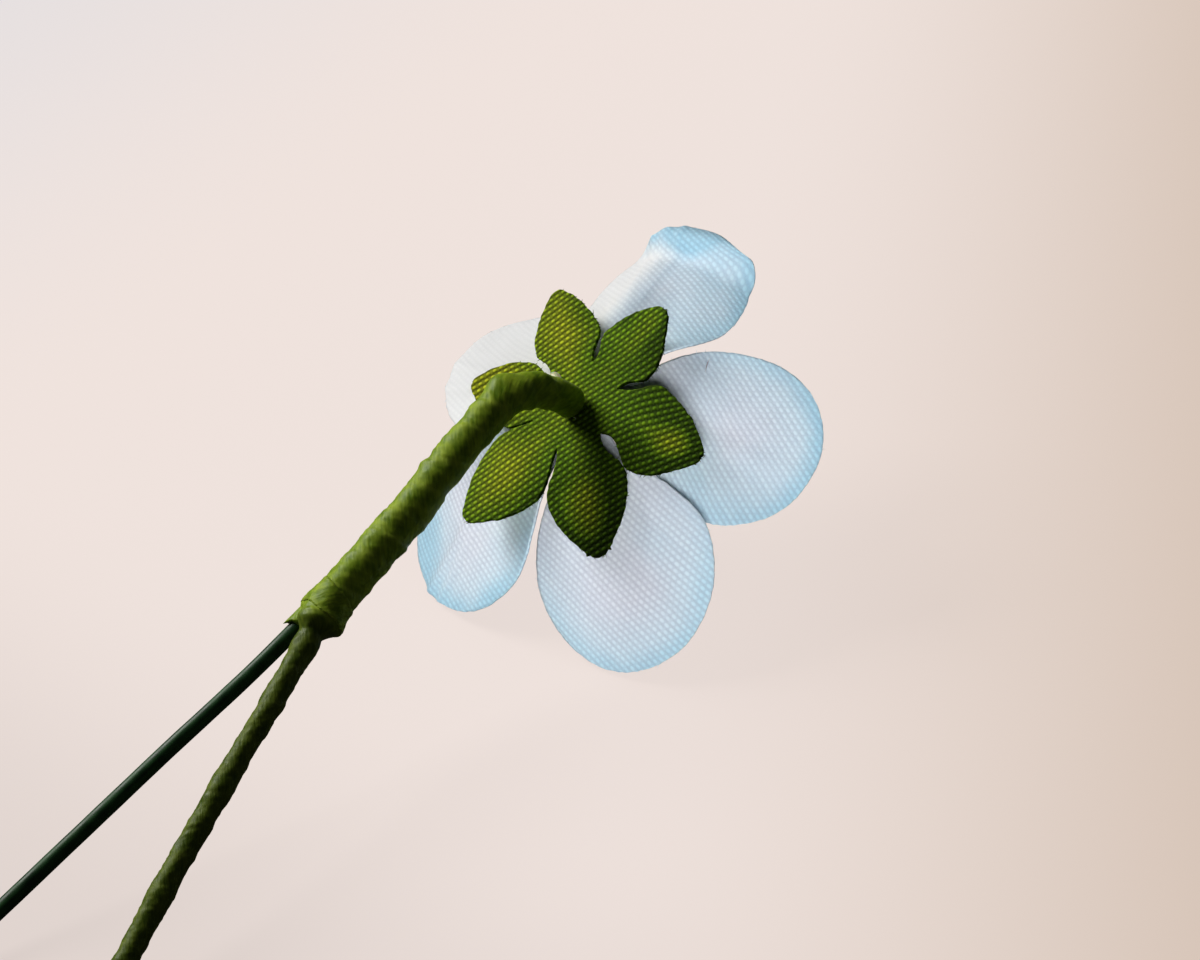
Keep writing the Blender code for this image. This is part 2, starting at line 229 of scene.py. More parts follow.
class Route:
    """A smooth curve through given points, with a frame that never twists about it."""

    def __init__(self, knots: list[Point], per_span: int = 48) -> None:
        """Sample the Catmull-Rom curve through the knots, which are offsets from the flower's centre.

        Args:
            knots: the places that the curve passes through.
            per_span: samples from one knot to the next.
        """
        given = np.array(knots, dtype=float) + FLOWER_CENTRE
        padded = np.vstack([2 * given[0] - given[1], given, 2 * given[-1] - given[-2]])
        spans = len(given) - 1
        place = np.linspace(0, spans, spans * per_span + 1)
        span = np.minimum(place.astype(int), spans - 1)
        t = (place - span)[:, None]
        before, start, end, after = (padded[span + shift] for shift in range(4))
        self.points = 0.5 * (2 * start + (end - before) * t + (2 * before - 5 * start + 4 * end - after) * t ** 2
                             + (3 * start - before - 3 * end + after) * t ** 3)
        steps = np.linalg.norm(np.diff(self.points, axis=0), axis=1)
        self.arc = np.concatenate([[0.0], np.cumsum(steps)])
        self.length = float(self.arc[-1])

    def at(self, arc: Array) -> tuple[Array, Array, Array, Array]:
        """Frame of the curve, which runs on straight past either end.

        The route runs in a plane that stands up between +X and +Y, so that plane's normal starts the frame.

        Args:
            arc: lengths along the curve.

        Returns:
            Place, direction, and the two directions across the curve, one row for each length.
        """
        arc = np.ravel(arc)
        tangents = unit(np.gradient(self.points, self.arc, axis=0))
        inside = np.clip(arc, 0, self.length)
        place, along = (np.stack([np.interp(inside, self.arc, rows[:, axis]) for axis in range(3)], axis=-1)
                        for rows in (self.points, tangents))
        along = unit(along)
        place = place + along * (arc - inside)[:, None]
        upright = np.array([1.0, -1.0, 0.0]) / np.sqrt(2)
        side = unit(upright - (along @ upright)[:, None] * along)
        return place, along, side, np.cross(side, along)

    def nearest_arc(self, offset: Point) -> float:
        """Length along the curve of the place nearest to an offset from the flower's centre."""
        return float(self.arc[np.linalg.norm(self.points - FLOWER_CENTRE - np.array(offset), axis=1).argmin()])


def tube_patch(route: Route, arc: Array, radii: Array, values: dict[str, Array]) -> Patch:
    """A surface round a route: at each length along it a ring, whose radius may change with the turn.

    Args:
        route: the path.
        arc: lengths along it, as a column.
        radii: radius for each row and column. A row of zeros closes the tube.
        values: what the finish reads, each for every row and column.

    Returns:
        The patch, whose last column lies on its first. Its pattern is turn times radius, and length along.
    """
    turn = turns(radii.shape[1] - 1)
    place, _, side, up = route.at(arc)
    ring = side[:, None] * np.cos(turn)[..., None] + up[:, None] * np.sin(turn)[..., None]
    pattern = np.stack(np.broadcast_arrays(turn * float(np.median(radii)), arc), axis=-1)
    return Patch(place[:, None] + ring * radii[..., None], pattern, values)


def thread_tube(spine: Array, along: Array, radii: Array, sides: int, beside: Point) -> Array:
    """Thin tubes round free spines: the two directions across, times the turn's cosine and sine, times the radius.

    Args:
        spine: points of one or more spines.
        along: directions of the spines, for each spine or for each of its points.
        radii: the radius at each point of a spine.
        sides: how many sides a tube has.
        beside: any direction that no spine runs in, which starts the ring.

    Returns:
        The spines' points with one more axis for the turn.
    """
    first = unit(np.cross(along, beside))
    second = np.cross(first, along)
    turn = turns(sides).T
    ring = first[..., None, :] * np.cos(turn) + second[..., None, :] * np.sin(turn)
    return spine[..., None, :] + ring * radii[..., None, None]


def rounded_rows(length: float, radius: float, middle: Array, cap_rows: int) -> tuple[Array, Array]:
    """Rows of a tube whose two ends are half spheres.

    Args:
        length: the tube's whole length.
        radius: the radius of its ends.
        middle: lengths of the rows on its straight part.
        cap_rows: how many rows round off each end.

    Returns:
        The length along the route, and the share of the ends' radius, for each row, as columns.
    """
    cap = np.linspace(0, np.pi / 2, cap_rows)
    first = radius * (1 - np.cos(cap))
    arc = np.concatenate([first, middle, (length - first)[::-1]])
    share = np.concatenate([np.sin(cap), np.ones_like(middle), np.sin(cap)[::-1]])
    return arc[:, None], share[:, None]


class Board:
    """Places nodes in one tree and joins them by name."""

    def __init__(self, tree: NodeTree) -> None:
        """Keep the tree."""
        self.tree = tree

    def join(self, node: Node, inputs: dict[str | int, object]) -> None:
        """Join or set a node's inputs by socket name or number."""
        for key, value in inputs.items():
            if isinstance(value, Socket):
                self.tree.links.new(value, node.inputs[key])
            else:
                node.inputs[key].default_value = value

    def add(self, kind: str, inputs: dict | None = None, **settings: object) -> Node:
        """Add a shader node, give it its settings, and join or set its inputs."""
        made = self.tree.nodes.new("ShaderNode" + kind)
        for key, value in settings.items():
            setattr(made, key, value)
        self.join(made, inputs or {})
        return made

    def math(self, operation: str, *values: object) -> Socket:
        """Output of a Math node."""
        return self.add("Math", dict(enumerate(values)), operation=operation).outputs[0]

    def vector(self, operation: str, *values: object) -> Socket:
        """Output of a Vector Math node, which is a number for a length, a distance or a dot product."""
        made = self.add("VectorMath", dict(enumerate(values)), operation=operation)
        return made.outputs["Value" if operation in ("LENGTH", "DISTANCE", "DOT_PRODUCT") else "Vector"]

    def blend(self, factor: object, first: object, second: object, kind: str = "MIX") -> Socket:
        """Output of a colour Mix node, whose colours are sockets or tones."""
        first, second = ((*tone, 1.0) if isinstance(tone, tuple) else tone for tone in (first, second))
        return self.add("Mix", {0: factor, 6: first, 7: second}, data_type="RGBA", blend_type=kind).outputs[2]

    def span(self, value: object, low: float, high: float, start: object = 0.0, end: object = 1.0) -> Socket:
        """Value carried smoothly from low..high to start..end."""
        inputs = {"Value": value, "From Min": low, "From Max": high, "To Min": start, "To Max": end}
        return self.add("MapRange", inputs, interpolation_type="SMOOTHSTEP").outputs[0]

    def stored(self, name: str) -> Socket:
        """A value that the mesh keeps at its points."""
        return self.add("Attribute", attribute_name=name).outputs["Fac"]

    def raised(self, height: Socket, distance: float) -> Socket:
        """Normal of a surface that the height raises by so many millimetres."""
        return self.add("Bump", {"Height": height, "Distance": distance * MM, "Strength": 1.0}).outputs[0]

    def pattern(self, cell: tuple[float, float] = (1.0, 1.0), turn_degrees: float = 0.0) -> Socket:
        """The piece's own pattern coordinates, centred and turned, in cells of so many millimetres each way."""
        centred = self.vector("SUBTRACT", self.add("UVMap", uv_map=PATTERN_MAP).outputs[0], (0.5, 0.5, 0.0))
        turned = self.add("Mapping", {"Vector": centred, "Rotation": (0.0, 0.0, radians(turn_degrees))})
        return self.vector("MULTIPLY", turned.outputs[0], (PATTERN_SPAN / cell[0], PATTERN_SPAN / cell[1], 1.0))


def new_group(name: str, inputs: dict[str, float | Point], outputs: tuple[str, ...]
              ) -> tuple[Board, dict[str, Socket], Node]:
    """Start a shader node group.

    Args:
        name: the group's name.
        inputs: socket name to default, which is a number or a vector.
        outputs: names of its sockets, all numbers.

    Returns:
        A board on its tree, its input sockets by name, and its output node.
    """
    tree = bpy.data.node_groups.new(name, "ShaderNodeTree")
    for key, default in inputs.items():
        kind = "NodeSocketFloat" if isinstance(default, float) else "NodeSocketVector"
        tree.interface.new_socket(key, in_out="INPUT", socket_type=kind).default_value = default
    for key in outputs:
        tree.interface.new_socket(key, in_out="OUTPUT", socket_type="NodeSocketFloat")
    start = tree.nodes.new("NodeGroupInput")
    return Board(tree), {key: start.outputs[key] for key in inputs}, tree.nodes.new("NodeGroupOutput")


@cache
def weave_group() -> NodeTree:
    """Plain weave: warp and weft threads rise and sink in turn, so in one cell one of them lies on top.

    A thread's section is 1 minus the square of the place across it, to the power of its fineness. Its height is that
    times a power of (1 + sine along it) / 2, with the sine's sign changing from thread to thread. Rib is how far the
    warp stays up where it would sink, and Wander how many cells a slow noise moves the threads.

    Returns:
        The group, which gives the cloth's height, 1 where the weft is on top, and a random value for each thread.
    """
    board, given, out = new_group("plain_weave", {
        "Vector": (0.0, 0.0, 0.0), "Weft Height": 1.0, "Dash Power": 1.0, "Rib": 0.0, "Fineness": 0.5, "Wander": 0.3,
    }, ("Height", "Weft", "Thread"))
    noise = board.add("TexNoise", {"Vector": given["Vector"], "Scale": 0.12, "Detail": 2.0}, noise_dimensions="2D")
    shift = board.vector("SUBTRACT", noise.outputs["Color"], (0.5, 0.5, 0.5))
    moved = board.vector("ADD", given["Vector"], board.vector("MULTIPLY", shift, given["Wander"]))
    right, up = board.add("SeparateXYZ", {0: moved}).outputs[:2]
    thread_width, weft_fineness, weft_draw = 0.98, 0.5, 517.3

    def thread(across: Socket, along: Socket, sign: float, rib: object, fineness: object) -> tuple[Socket, Socket]:
        """Number and height of a thread, from the places across it and along it."""
        number = board.math("FLOOR", across)
        edge = board.math("MULTIPLY_ADD", board.math("SUBTRACT", across, number), 2 * thread_width, -thread_width)
        section = board.math("POWER", board.math("SUBTRACT", 1.0, board.math("MULTIPLY", edge, edge)), fineness)
        turned = board.math("MULTIPLY_ADD", board.math("FLOORED_MODULO", number, 2.0), -2.0 * sign, sign)
        rise = board.math("MULTIPLY", board.math("SINE", board.math("MULTIPLY", along, np.pi)), turned)
        lifted = board.math("POWER", board.math("MULTIPLY_ADD", rise, 0.5, 0.5), given["Dash Power"])
        return number, board.math("MULTIPLY", section, board.span(rib, 0.0, 1.0, lifted, 1.0))

    column, warp = thread(right, up, 1.0, given["Rib"], given["Fineness"])
    row, weft = thread(up, right, -1.0, 0.0, weft_fineness)
    weft = board.math("MULTIPLY", weft, given["Weft Height"])
    weft_on_top = board.math("GREATER_THAN", weft, warp)
    number = board.add("Mix", {0: weft_on_top, 2: column, 3: row}, data_type="FLOAT").outputs[0]
    draw = board.math("MULTIPLY_ADD", weft_on_top, weft_draw, number)
    board.join(out, {"Height": board.math("MAXIMUM", warp, weft), "Weft": weft_on_top, "Thread": board.add(
        "TexWhiteNoise", {"W": draw}, noise_dimensions="1D").outputs["Value"]})
    return board.tree


@cache
def grain_group() -> NodeTree:
    """Two noises: streaks, drawn out along the pattern's length, and mottle.

    Returns:
        The group, which gives both.
    """
    board, given, out = new_group(
        "drawn_grain", {"Vector": (0.0, 0.0, 0.0), "Streak Scale": 20.0, "Mottle Scale": 5.0}, ("Streak", "Mottle"))
    drawn = board.vector("MULTIPLY", given["Vector"], (1.0, 0.15, 1.0))
    for key, vector, detail in (("Streak", drawn, 4.0), ("Mottle", given["Vector"], 3.0)):
        noise = board.add("TexNoise", {"Vector": vector, "Scale": given[f"{key} Scale"], "Detail": detail})
        board.join(out, {key: noise.outputs["Fac"]})
    return board.tree


def new_material(name: str) -> tuple[Material, Board, Node]:
    """A material with a Principled shader, a board on its tree, and that shader."""
    made = bpy.data.materials.new(name)
    made.use_nodes = True
    return made, Board(made.node_tree), made.node_tree.nodes["Principled BSDF"]


# White of undyed cloth, also used as the painted highlight where a lobe faces the light
UNDYED_AND_HIGHLIGHT_WHITE: Colour = (0.945, 0.965, 0.985)


@dataclass(frozen=True)
class Spot:
    """A soft round patch of colour on the flat cut, used for painted light, painted shade and dye: where it lies, how
    wide it is, and by how much it moves the rim.
    """

    azimuth: float
    reach: float
    width: float
    strength: float


@dataclass(frozen=True)
class WovenCloth:
    """A plain-woven, starched cloth, dyed in three tones.

    The first tone covers its middle. The second comes in towards the rim of each lobe's outer part, and the third
    along the cut edge and the tip. lean paints light: it carries the whole dye one way across the cut, towards the
    middle tone on the lit side, by so many millimetres at the reach given with it, and spots, most of them painted
    light and shade, add to it. The weave's numbers are those of its node group.
    """

    name: str
    middle: Colour
    rim: Colour
    tip: Colour
    rim_width: float
    tip_width: float
    outer_from: float
    cell: tuple[float, float]
    turn_degrees: float
    dash_power: float
    rib: float
    fineness: float
    weft_shade: float
    gap_shade: float
    relief: float
    see_through: float
    sheen: float
    gloss: float
    thread_change: float
    spots: tuple[Spot, ...]
    painted_light_azimuth: float = 0.0
    lean: float = 0.0
    painted_light_reach: float = 20.0
    weft_height: float = 0.6
    unevenness: float = 2.2
    rim_rise: float = 0.35

    def dye(self, board: Board) -> Socket:
        """Colour of the cloth before its weave, by distance from the rim and share of the way to the tip, with painted
        light and shade from the lean and the spots.
        """
        flat = board.pattern()
        cloud = board.add("TexNoise", {"Vector": flat, "Scale": 0.2, "Detail": 3.0}).outputs["Fac"]
        uneven = board.math("MULTIPLY_ADD", board.math("SUBTRACT", cloud, 0.5), self.unevenness, board.stored("rim"))
        # Painted light: the lean makes the cloth lighter on the side that the light falls on
        way = polar(self.painted_light_azimuth, self.lean / self.painted_light_reach)
        uneven = board.math("ADD", uneven, board.vector("DOT_PRODUCT", flat, way))
        for spot in self.spots:
            apart = board.vector("DISTANCE", flat, polar(spot.azimuth, spot.reach))
            uneven = board.math("ADD", uneven, board.span(apart, 0.0, spot.width, spot.strength, 0.0))
        outer, tone = board.stored("tip"), self.middle
        inner = (self.rim, self.rim_width, self.outer_from + self.rim_rise)
        for colour, width, full in (inner, (self.tip, self.tip_width, 1.0)):
            near = board.span(uneven, 0.0, width, 1.0, 0.0)
            tone = board.blend(board.math("MULTIPLY", near, board.span(outer, self.outer_from, full)), tone, colour)
        # White where bare: partly undyed cloth, partly a painted highlight on the lobes that face the light
        return board.blend(board.stored("bare"), tone, UNDYED_AND_HIGHLIGHT_WHITE)

    def material(self) -> Material:
        """The dye, with painted shade where the weft is on top and in the weave's gaps, and the weave as relief."""
        made, board, shader = new_material(self.name)
        weave = board.add("Group", node_tree=weave_group())
        board.join(weave, {"Vector": board.pattern(self.cell, self.turn_degrees), "Weft Height": self.weft_height,
                           "Dash Power": self.dash_power, "Rib": self.rib, "Fineness": self.fineness})
        height, weft, draw = weave.outputs
        thread = board.span(draw, 0.0, 1.0, 1 - self.thread_change, 1.0)
        # Painted shade in the weave: the gaps between threads and the sunken weft are darkened, bluer in the dark
        sunk = board.span(height, 0.15, 0.95, self.gap_shade, 1.0)
        crossed = board.math("MULTIPLY_ADD", weft, self.weft_shade - 1.0, 1.0)
        shade = board.math("MULTIPLY", board.math("MULTIPLY", sunk, crossed), thread)
        # Painted highlight: where bare, the weave's darkening fades out and the white stays smooth
        shade = board.span(board.stored("bare"), 0.0, 1.5, shade, 1.0)
        painted_weave_shade = board.add("CombineXYZ", {0: shade, 1: shade, 2: board.math("POWER", shade, 0.85)}).outputs[0]
        board.join(shader, {
            "Base Color": board.blend(1.0, self.dye(board), painted_weave_shade, "MULTIPLY"),
            "Normal": board.raised(height, self.relief), "Roughness": 0.72, "Specular IOR Level": self.gloss,
            "Sheen Weight": self.sheen, "Sheen Roughness": 0.45, "Subsurface Weight": self.see_through,
            "Subsurface Radius": (1.0, 1.0, 1.0), "Subsurface Scale": 0.4 * MM})
        return made


@dataclass(frozen=True)
class WaxedTape:
    """Stretched crepe tape with wax in it: mottled green, fine wrinkles, a pale line at each lap, and painted shade
    that darkens the leg.
    """

    name: str = "florist_tape"
    deep: Colour = (0.15, 0.26, 0.008)
    pale: Colour = (0.42, 0.55, 0.045)
    leg_shade: float = 0.42
    lap_line: Colour = (0.45, 0.50, 0.12)
    lap_strength: float = 0.15
    crepe_degrees: float = 35.0
    relief: float = 0.09

    def material(self) -> Material:
        """Mottle and streaks across the tape's length, with the lap's edge picked out by its own value."""
        made, board, shader = new_material(self.name)
        grain = board.add("Group", node_tree=grain_group())
        board.join(grain, {
            "Vector": board.pattern(turn_degrees=self.crepe_degrees), "Streak Scale": 5.5, "Mottle Scale": 0.9})
        streak, mottle = grain.outputs
        mixed = board.math("MULTIPLY_ADD", streak, 0.5, board.math("MULTIPLY", mottle, 0.7))
        body = board.blend(board.span(mixed, 0.35, 0.85), self.deep, self.pale)
        lined = board.blend(board.span(board.stored("lap"), 0.0, 0.4, self.lap_strength, 0.0), body, self.lap_line)
        # Painted shade: the tape on the leg below the fork is made darker
        painted_leg_shade = board.span(board.stored("leg"), 0.0, 1.0, 1.0, self.leg_shade)
        board.join(shader, {
            "Base Color": board.blend(1.0, lined, painted_leg_shade, "MULTIPLY"), "Normal": board.raised(mixed, self.relief),
            "Roughness": board.span(mottle, 0.3, 0.7, 0.42, 0.6), "Specular IOR Level": 0.25,
            "Subsurface Weight": 0.15, "Subsurface Radius": (0.8, 1.0, 0.3), "Subsurface Scale": 0.3 * MM,
            "Sheen Weight": 0.16, "Sheen Roughness": 0.3, "Sheen Tint": (0.85, 0.95, 0.55, 1.0)})
        return made


@dataclass(frozen=True)
class GrainFinish:
    """A plain finish with fine grain: coated wire, drawn steel, resin, lint, thread or glue."""

    name: str
    deep: Colour
    pale: Colour
    roughness: float
    relief: float
    streak: float = 6.0
    metallic: float = 0.0
    see_through: float = 0.0
    gloss: float = 0.4

    def material(self) -> Material:
        """Two tones mixed by streaks and mottle. The streaks give the relief, and the mottle moves the gloss."""
        made, board, shader = new_material(self.name)
        grain = board.add("Group", node_tree=grain_group())
        board.join(grain, {"Vector": board.pattern(), "Streak Scale": self.streak, "Mottle Scale": 0.6})
        streak, mottle = grain.outputs
        mixed = board.math("MULTIPLY", board.math("ADD", streak, mottle), 0.5)
        board.join(shader, {
            "Base Color": board.blend(board.span(mixed, 0.35, 0.65), self.deep, self.pale),
            "Normal": board.raised(streak, self.relief),
            "Roughness": board.span(mottle, 0.3, 0.7, self.roughness * 0.85, self.roughness * 1.15),
            "Metallic": self.metallic, "Specular IOR Level": self.gloss,
            "Subsurface Weight": self.see_through, "Subsurface Scale": 0.4 * MM})
        return made


@dataclass(frozen=True)
class Lobe:
    """One petal or sepal of a die-cut cloth. Lengths are millimetres and angles degrees.

    azimuth is where the tip points, slope and bend carry it forward, flare rolls it back, cup curves it
    across, twist lifts one long edge, and creases are (place, height, width) ridges. roll turns the last part of a
    flared tip forward again, which leaves a valley and a ridge across it. dye is how strongly its rim is dyed, and
    bare the share of its width, from its left edge, that is white: partly undyed cloth, partly a painted highlight
    where the lobe faces the light. slim keeps its root slim for longer.
    """

    azimuth: float
    length: float
    half_width: float
    slope: float
    bend: float
    flare: float
    cup: float
    twist: float
    creases: tuple[tuple[float, float, float], ...] = ()
    roll: float = 0.0
    dye: float = 1.0
    bare: float = 0.0
    slim: float = 1.0


@dataclass(frozen=True)
class Outline:
    """How a lobe is cut, in shares of its length.

    It is widest at widest_share, after a rise whose power keeps its root slim. From there it falls, with a power
    and a root that set its fullness, towards meet_share. tip_share is the length that the tip's own arc adds.
    """

    widest_share: float
    rise_power: float
    fall_power: float
    fall_root: float
    tip_share: float
    meet_share: float

    def half_width(self, along: Array, lobe: Lobe, disc_radius: float, half_sector: float) -> Array:
        """Half width: a power of a sine up to the widest place, then a root of 1 minus a power down to the tip.

        Args:
            along: lengths along the lobe.
            lobe: its own sizes.
            disc_radius: the rim on which its root stands.
            half_sector: half the turn that it takes of the disc.

        Returns:
            The half width at each length.
        """
        root = disc_radius * np.cos(half_sector)
        root_width = disc_radius * np.sin(half_sector)
        widest = self.widest_share * lobe.length
        rise = np.sin(np.pi / 2 * np.clip((along - root) / (widest - root), 0, 1)) ** (self.rise_power * lobe.slim)
        past = np.clip((along - widest) / (self.meet_share * lobe.length - widest), 0, 1)
        fall = (1 - past ** self.fall_power) ** self.fall_root
        return np.where(along < widest, root_width + (lobe.half_width - root_width) * rise, lobe.half_width * fall)


class Side(Enum):
    """Which way a cloth's thickness goes from its drawn surface."""

    FRONT = -1.0
    BACK = 1.0


def around_rim(grid: Array, inset: int = 0) -> Array:
    """Points of a grid down its left side, along its last row and up its right side, or so many rows inside."""
    return np.concatenate([grid[:, inset], grid[-1 - inset], grid[::-1, -1 - inset]])


def grid_area(cut: Array) -> float:
    """Area of a flat grid in square millimetres: half the cross product of each cell's diagonals."""
    first, second = cut[1:, 1:] - cut[:-1, :-1], cut[1:, :-1] - cut[:-1, 1:]
    return float(np.abs(first[..., 0] * second[..., 1] - first[..., 1] * second[..., 0]).sum() / 2)


@dataclass
class DieCutCloth:
    """A cloth disc with a wire hole and one shaped lobe for each sector.

    fray_lines are (height, spacing) of the random lines along the cut edge, and dent_sizes (height, length, width,
    shift) of the dents. smooth_root is how many points of the rim, next to the disc, bear no fuzz. sloped_by,
    cupped_by, aimed_by and dented_by are the shares of a lobe after which it has its whole slope, cup, azimuth and
    unevenness, and creased is the span of shares over which its creases come in.
    """

    name: str
    lobes: list[Lobe]
    outline: Outline
    finish: WovenCloth
    first_azimuth: float
    disc_radius: float
    lift: float
    thickness: float
    grows: Side
    rows: int
    columns: int
    fray: float
    ripple: float
    seed: int
    hole_radius: float = 0.75
    disc_rows: int = 12
    smooth_root: int = 12
    fray_lines: tuple[tuple[float, float], ...] = ((0.6, 0.34), (0.4, 1.6))
    fray_depth: float = 0.8
    middle: float = 0.6
    dent_sizes: tuple[tuple[float, ...], ...] = ((0.55, 4.5, 2.2, 20), (0.275, 1.9, 1.3, 9))
    wave_share: float = 0.5
    wave_length: float = 4.2
    wave_depth: float = 3.5
    tip_from: float = 0.70
    sloped_by: float = 0.25
    cupped_by: float = 0.45
    aimed_by: float = 0.6
    dented_by: float = 0.3
    creased: tuple[float, float] = (0.3, 0.7)
    rolled_tip: tuple[float, float] = (0.74, 0.84)
    flat_area: float = 0.0
    flat_points: list[Array] = field(default_factory=list)
    rim_places: list[Array] = field(default_factory=list)
    rim_outward: list[Array] = field(default_factory=list)

    def __post_init__(self) -> None:
        """Work out half the turn that one lobe takes of the disc."""
        self.half_sector = np.pi / len(self.lobes)

    def share(self, along: Array, lobe: Lobe) -> Array:
        """Share of the way from the disc's rim to the lobe's tip."""
        return np.clip((along - self.disc_radius) / (lobe.length - self.disc_radius), 0, 1)

    def flat_lobe(self, lobe: Lobe) -> tuple[Array, Array]:
        """Grid of a lobe as it is cut from flat cloth, whose rows bulge forward as the disc's rim does.

        Args:
            lobe: its sizes.

        Returns:
            Lengths along and across it, in rows from the disc to the tip.
        """
        share = np.linspace(0, 1, self.rows + 1)[:, None]
        turn = self.half_sector * np.linspace(-1, 1, self.columns + 1)[None, :]
        root = self.disc_radius * np.cos(self.half_sector)
        edge_along = root + (lobe.length * (1 - self.outline.tip_share) - root) * share
        middle_along = self.disc_radius + (lobe.length - self.disc_radius) * share
        bulge = (np.cos(turn) - np.cos(self.half_sector)) / (1 - np.cos(self.half_sector))
        wide = self.outline.half_width(edge_along, lobe, self.disc_radius, self.half_sector)
        return edge_along + (middle_along - edge_along) * bulge, wide * np.sin(turn) / np.sin(self.half_sector)

    def frayed(self, along: Array, across: Array, seed: int) -> tuple[Array, Array, Array]:
        """Pull the cut edge in and out by a random line, and measure each point's distance from that edge.

        Args:
            along, across: the lobe's flat grid.
            seed: the draw of the line.

        Returns:
            along and across with their ragged edge, and the distance from the edge.
        """
        flat = np.stack([along, across], axis=-1)
        edge = around_rim(flat)
        travelled = np.concatenate([[0], np.cumsum(np.linalg.norm(np.diff(edge, axis=0), axis=1))])
        apart = np.linalg.norm(flat[:, :, None] - edge, axis=-1)
        rim = apart.min(axis=-1)
        ragged = self.fray * sum(height * wander(travelled, spacing, seed + draw)
                                 for draw, (height, spacing) in enumerate(self.fray_lines))
        pull = ragged[apart.argmin(axis=-1)] * ease(rim, self.fray_depth, 0) * ease(along - self.disc_radius, 0, 2)
        moved = flat + pull[..., None] * unit(flat - (self.middle * float(along.max()), 0.0))
        return moved[..., 0], moved[..., 1], rim

    def midrib(self, along: Array, lobe: Lobe) -> tuple[Array, ...]:
        """The lobe's middle line: the cosine and the sine of its slope, summed along the cloth.

        Args:
            along: lengths along the cloth.
            lobe: its slope, bend, flare and roll.

        Returns:
            Radius, height and slope at each length.
        """
        grid = np.linspace(0, lobe.length * 1.02, 240)
        share = self.share(grid, lobe)
        slope = radians(lobe.slope) * ease(share, 0, self.sloped_by) + radians(lobe.bend) * share
        start, end = self.rolled_tip if lobe.roll else (self.tip_from, 1.0)
        slope -= radians(lobe.flare) * ease(share, start, end)
        if lobe.roll:
            slope += radians(lobe.roll) * ease(share, end, 1)
        radius, height = (np.concatenate([[0], np.cumsum((step[1:] + step[:-1]) / 2 * np.diff(grid))])
                          for step in (np.cos(slope), -np.sin(slope)))
        return tuple(np.interp(along, grid, line) for line in (radius, height, slope))

    def relief(self, along: Array, across: Array, rim: Array, lobe: Lobe, seed: int) -> Array:
        """Pressed ridges down the lobe, soft dents, and a slow wave near its rim, all dying out at the root.

        Args:
            along, across: the lobe's flat grid.
            rim: distance from its edge.
            lobe: its creases and sizes.
            seed: the draw of the dents.

        Returns:
            The height of each place above the lobe's smooth form.
        """
        share = self.share(along, lobe)
        side = across / lobe.half_width
        ridges = sum(size * np.exp(-((side - place * share) / width) ** 2) for place, size, width in lobe.creases)
        uneven = sum(height * dents(along / long + shift, across / wide + shift, seed + draw)
                     for draw, (height, long, wide, shift) in enumerate(self.dent_sizes))
        travelled = np.arctan2(across, along - self.middle * lobe.length) * lobe.half_width
        wave = wander(travelled, self.wave_length, seed + 2)
        uneven = uneven + self.wave_share * wave * ease(rim, self.wave_depth, 0)
        return ridges * ease(share, *self.creased) + self.ripple * ease(share, 0, self.dented_by) * uneven

    def shape_lobe(self, flat: tuple[Array, Array, Array], lobe: Lobe, root_azimuth: float, seed: int) -> Array:
        """Bend the flat grid of a lobe into its place round the flower's back axis.

        The grid is curved across with the cup, twisted, laid on the midrib's slope, and swung to its azimuth.

        Args:
            flat: lengths along and across the lobe, and distance from its edge.
            lobe: its sizes and angles.
            root_azimuth: where its sector of the disc lies.
            seed: the draw of its relief.

        Returns:
            Its points in the head's frame.
        """
        along, across, _ = flat
        radius, height, slope = self.midrib(along, lobe)
        share = self.share(along, lobe)
        curvature = lobe.cup * ease(share, 0, self.cupped_by) + TINY
        side = np.sin(across * curvature) / curvature
        drop = (1 - np.cos(across * curvature)) / curvature - self.relief(*flat, lobe, seed)
        drop, side = np.moveaxis(swung(drop, side, radians(lobe.twist) * ease(share)), -1, 0)
        angle = radians(root_azimuth) + radians(lobe.azimuth - root_azimuth) * ease(share, 0, self.aimed_by)
        place = swung(radius - drop * np.sin(slope), side, angle)
        return np.dstack([place, height - drop * np.cos(slope) + self.lift])

    def sector(self, index: int, lobe: Lobe) -> list[Patch]:
        """Make one sector, and keep its flat area, its flat points and its rim.

        Args:
            index: its number.
            lobe: its petal or sepal.

        Returns:
            The lobe's patch and its slice of the disc, with the flat cut as their pattern.
        """
        root_azimuth = self.first_azimuth + 360.0 / len(self.lobes) * index
        seed = self.seed + 10 * index
        flat = self.frayed(*self.flat_lobe(lobe), seed)
        along, across, rim = flat
        shaped = self.shape_lobe(flat, lobe, root_azimuth, seed)
        cut = swung(along, across, radians(root_azimuth))
        turn = radians(root_azimuth) + self.half_sector * np.linspace(-1, 1, self.columns + 1)
        disc_cut = swung(np.linspace(self.hole_radius, self.disc_radius, self.disc_rows)[:, None], 0.0, turn)
        disc = np.dstack([disc_cut, np.full(disc_cut.shape[:2], self.lift)])
        disc_rim = np.linalg.norm(disc_cut[:, :, None] - disc_cut[-1, [0, -1]], axis=-1).min(axis=-1)
        # White from its left edge inwards, partly undyed cloth and partly a painted highlight, but not on a rolled tip
        bare = ease(across / lobe.half_width - 1 + 2.5 * lobe.bare, 0, 0.5)
        if lobe.roll:
            bare = bare * ease(0.9 * lobe.length - along, 0, 2)
        self.flat_area += grid_area(cut) + grid_area(disc_cut)
        self.flat_points.append(cut.reshape(-1, 2))
        line = around_rim(shaped)
        self.rim_places.append(line[self.smooth_root:-self.smooth_root])
        self.rim_outward.append((line - around_rim(shaped, inset=2))[self.smooth_root:-self.smooth_root])
        return [Patch(from_head(shaped), cut, {"rim": rim, "tip": lobe.dye * self.share(along, lobe), "bare": bare}),
                Patch(from_head(disc), disc_cut, {"rim": disc_rim, "tip": np.zeros(1), "bare": np.zeros(1)})]

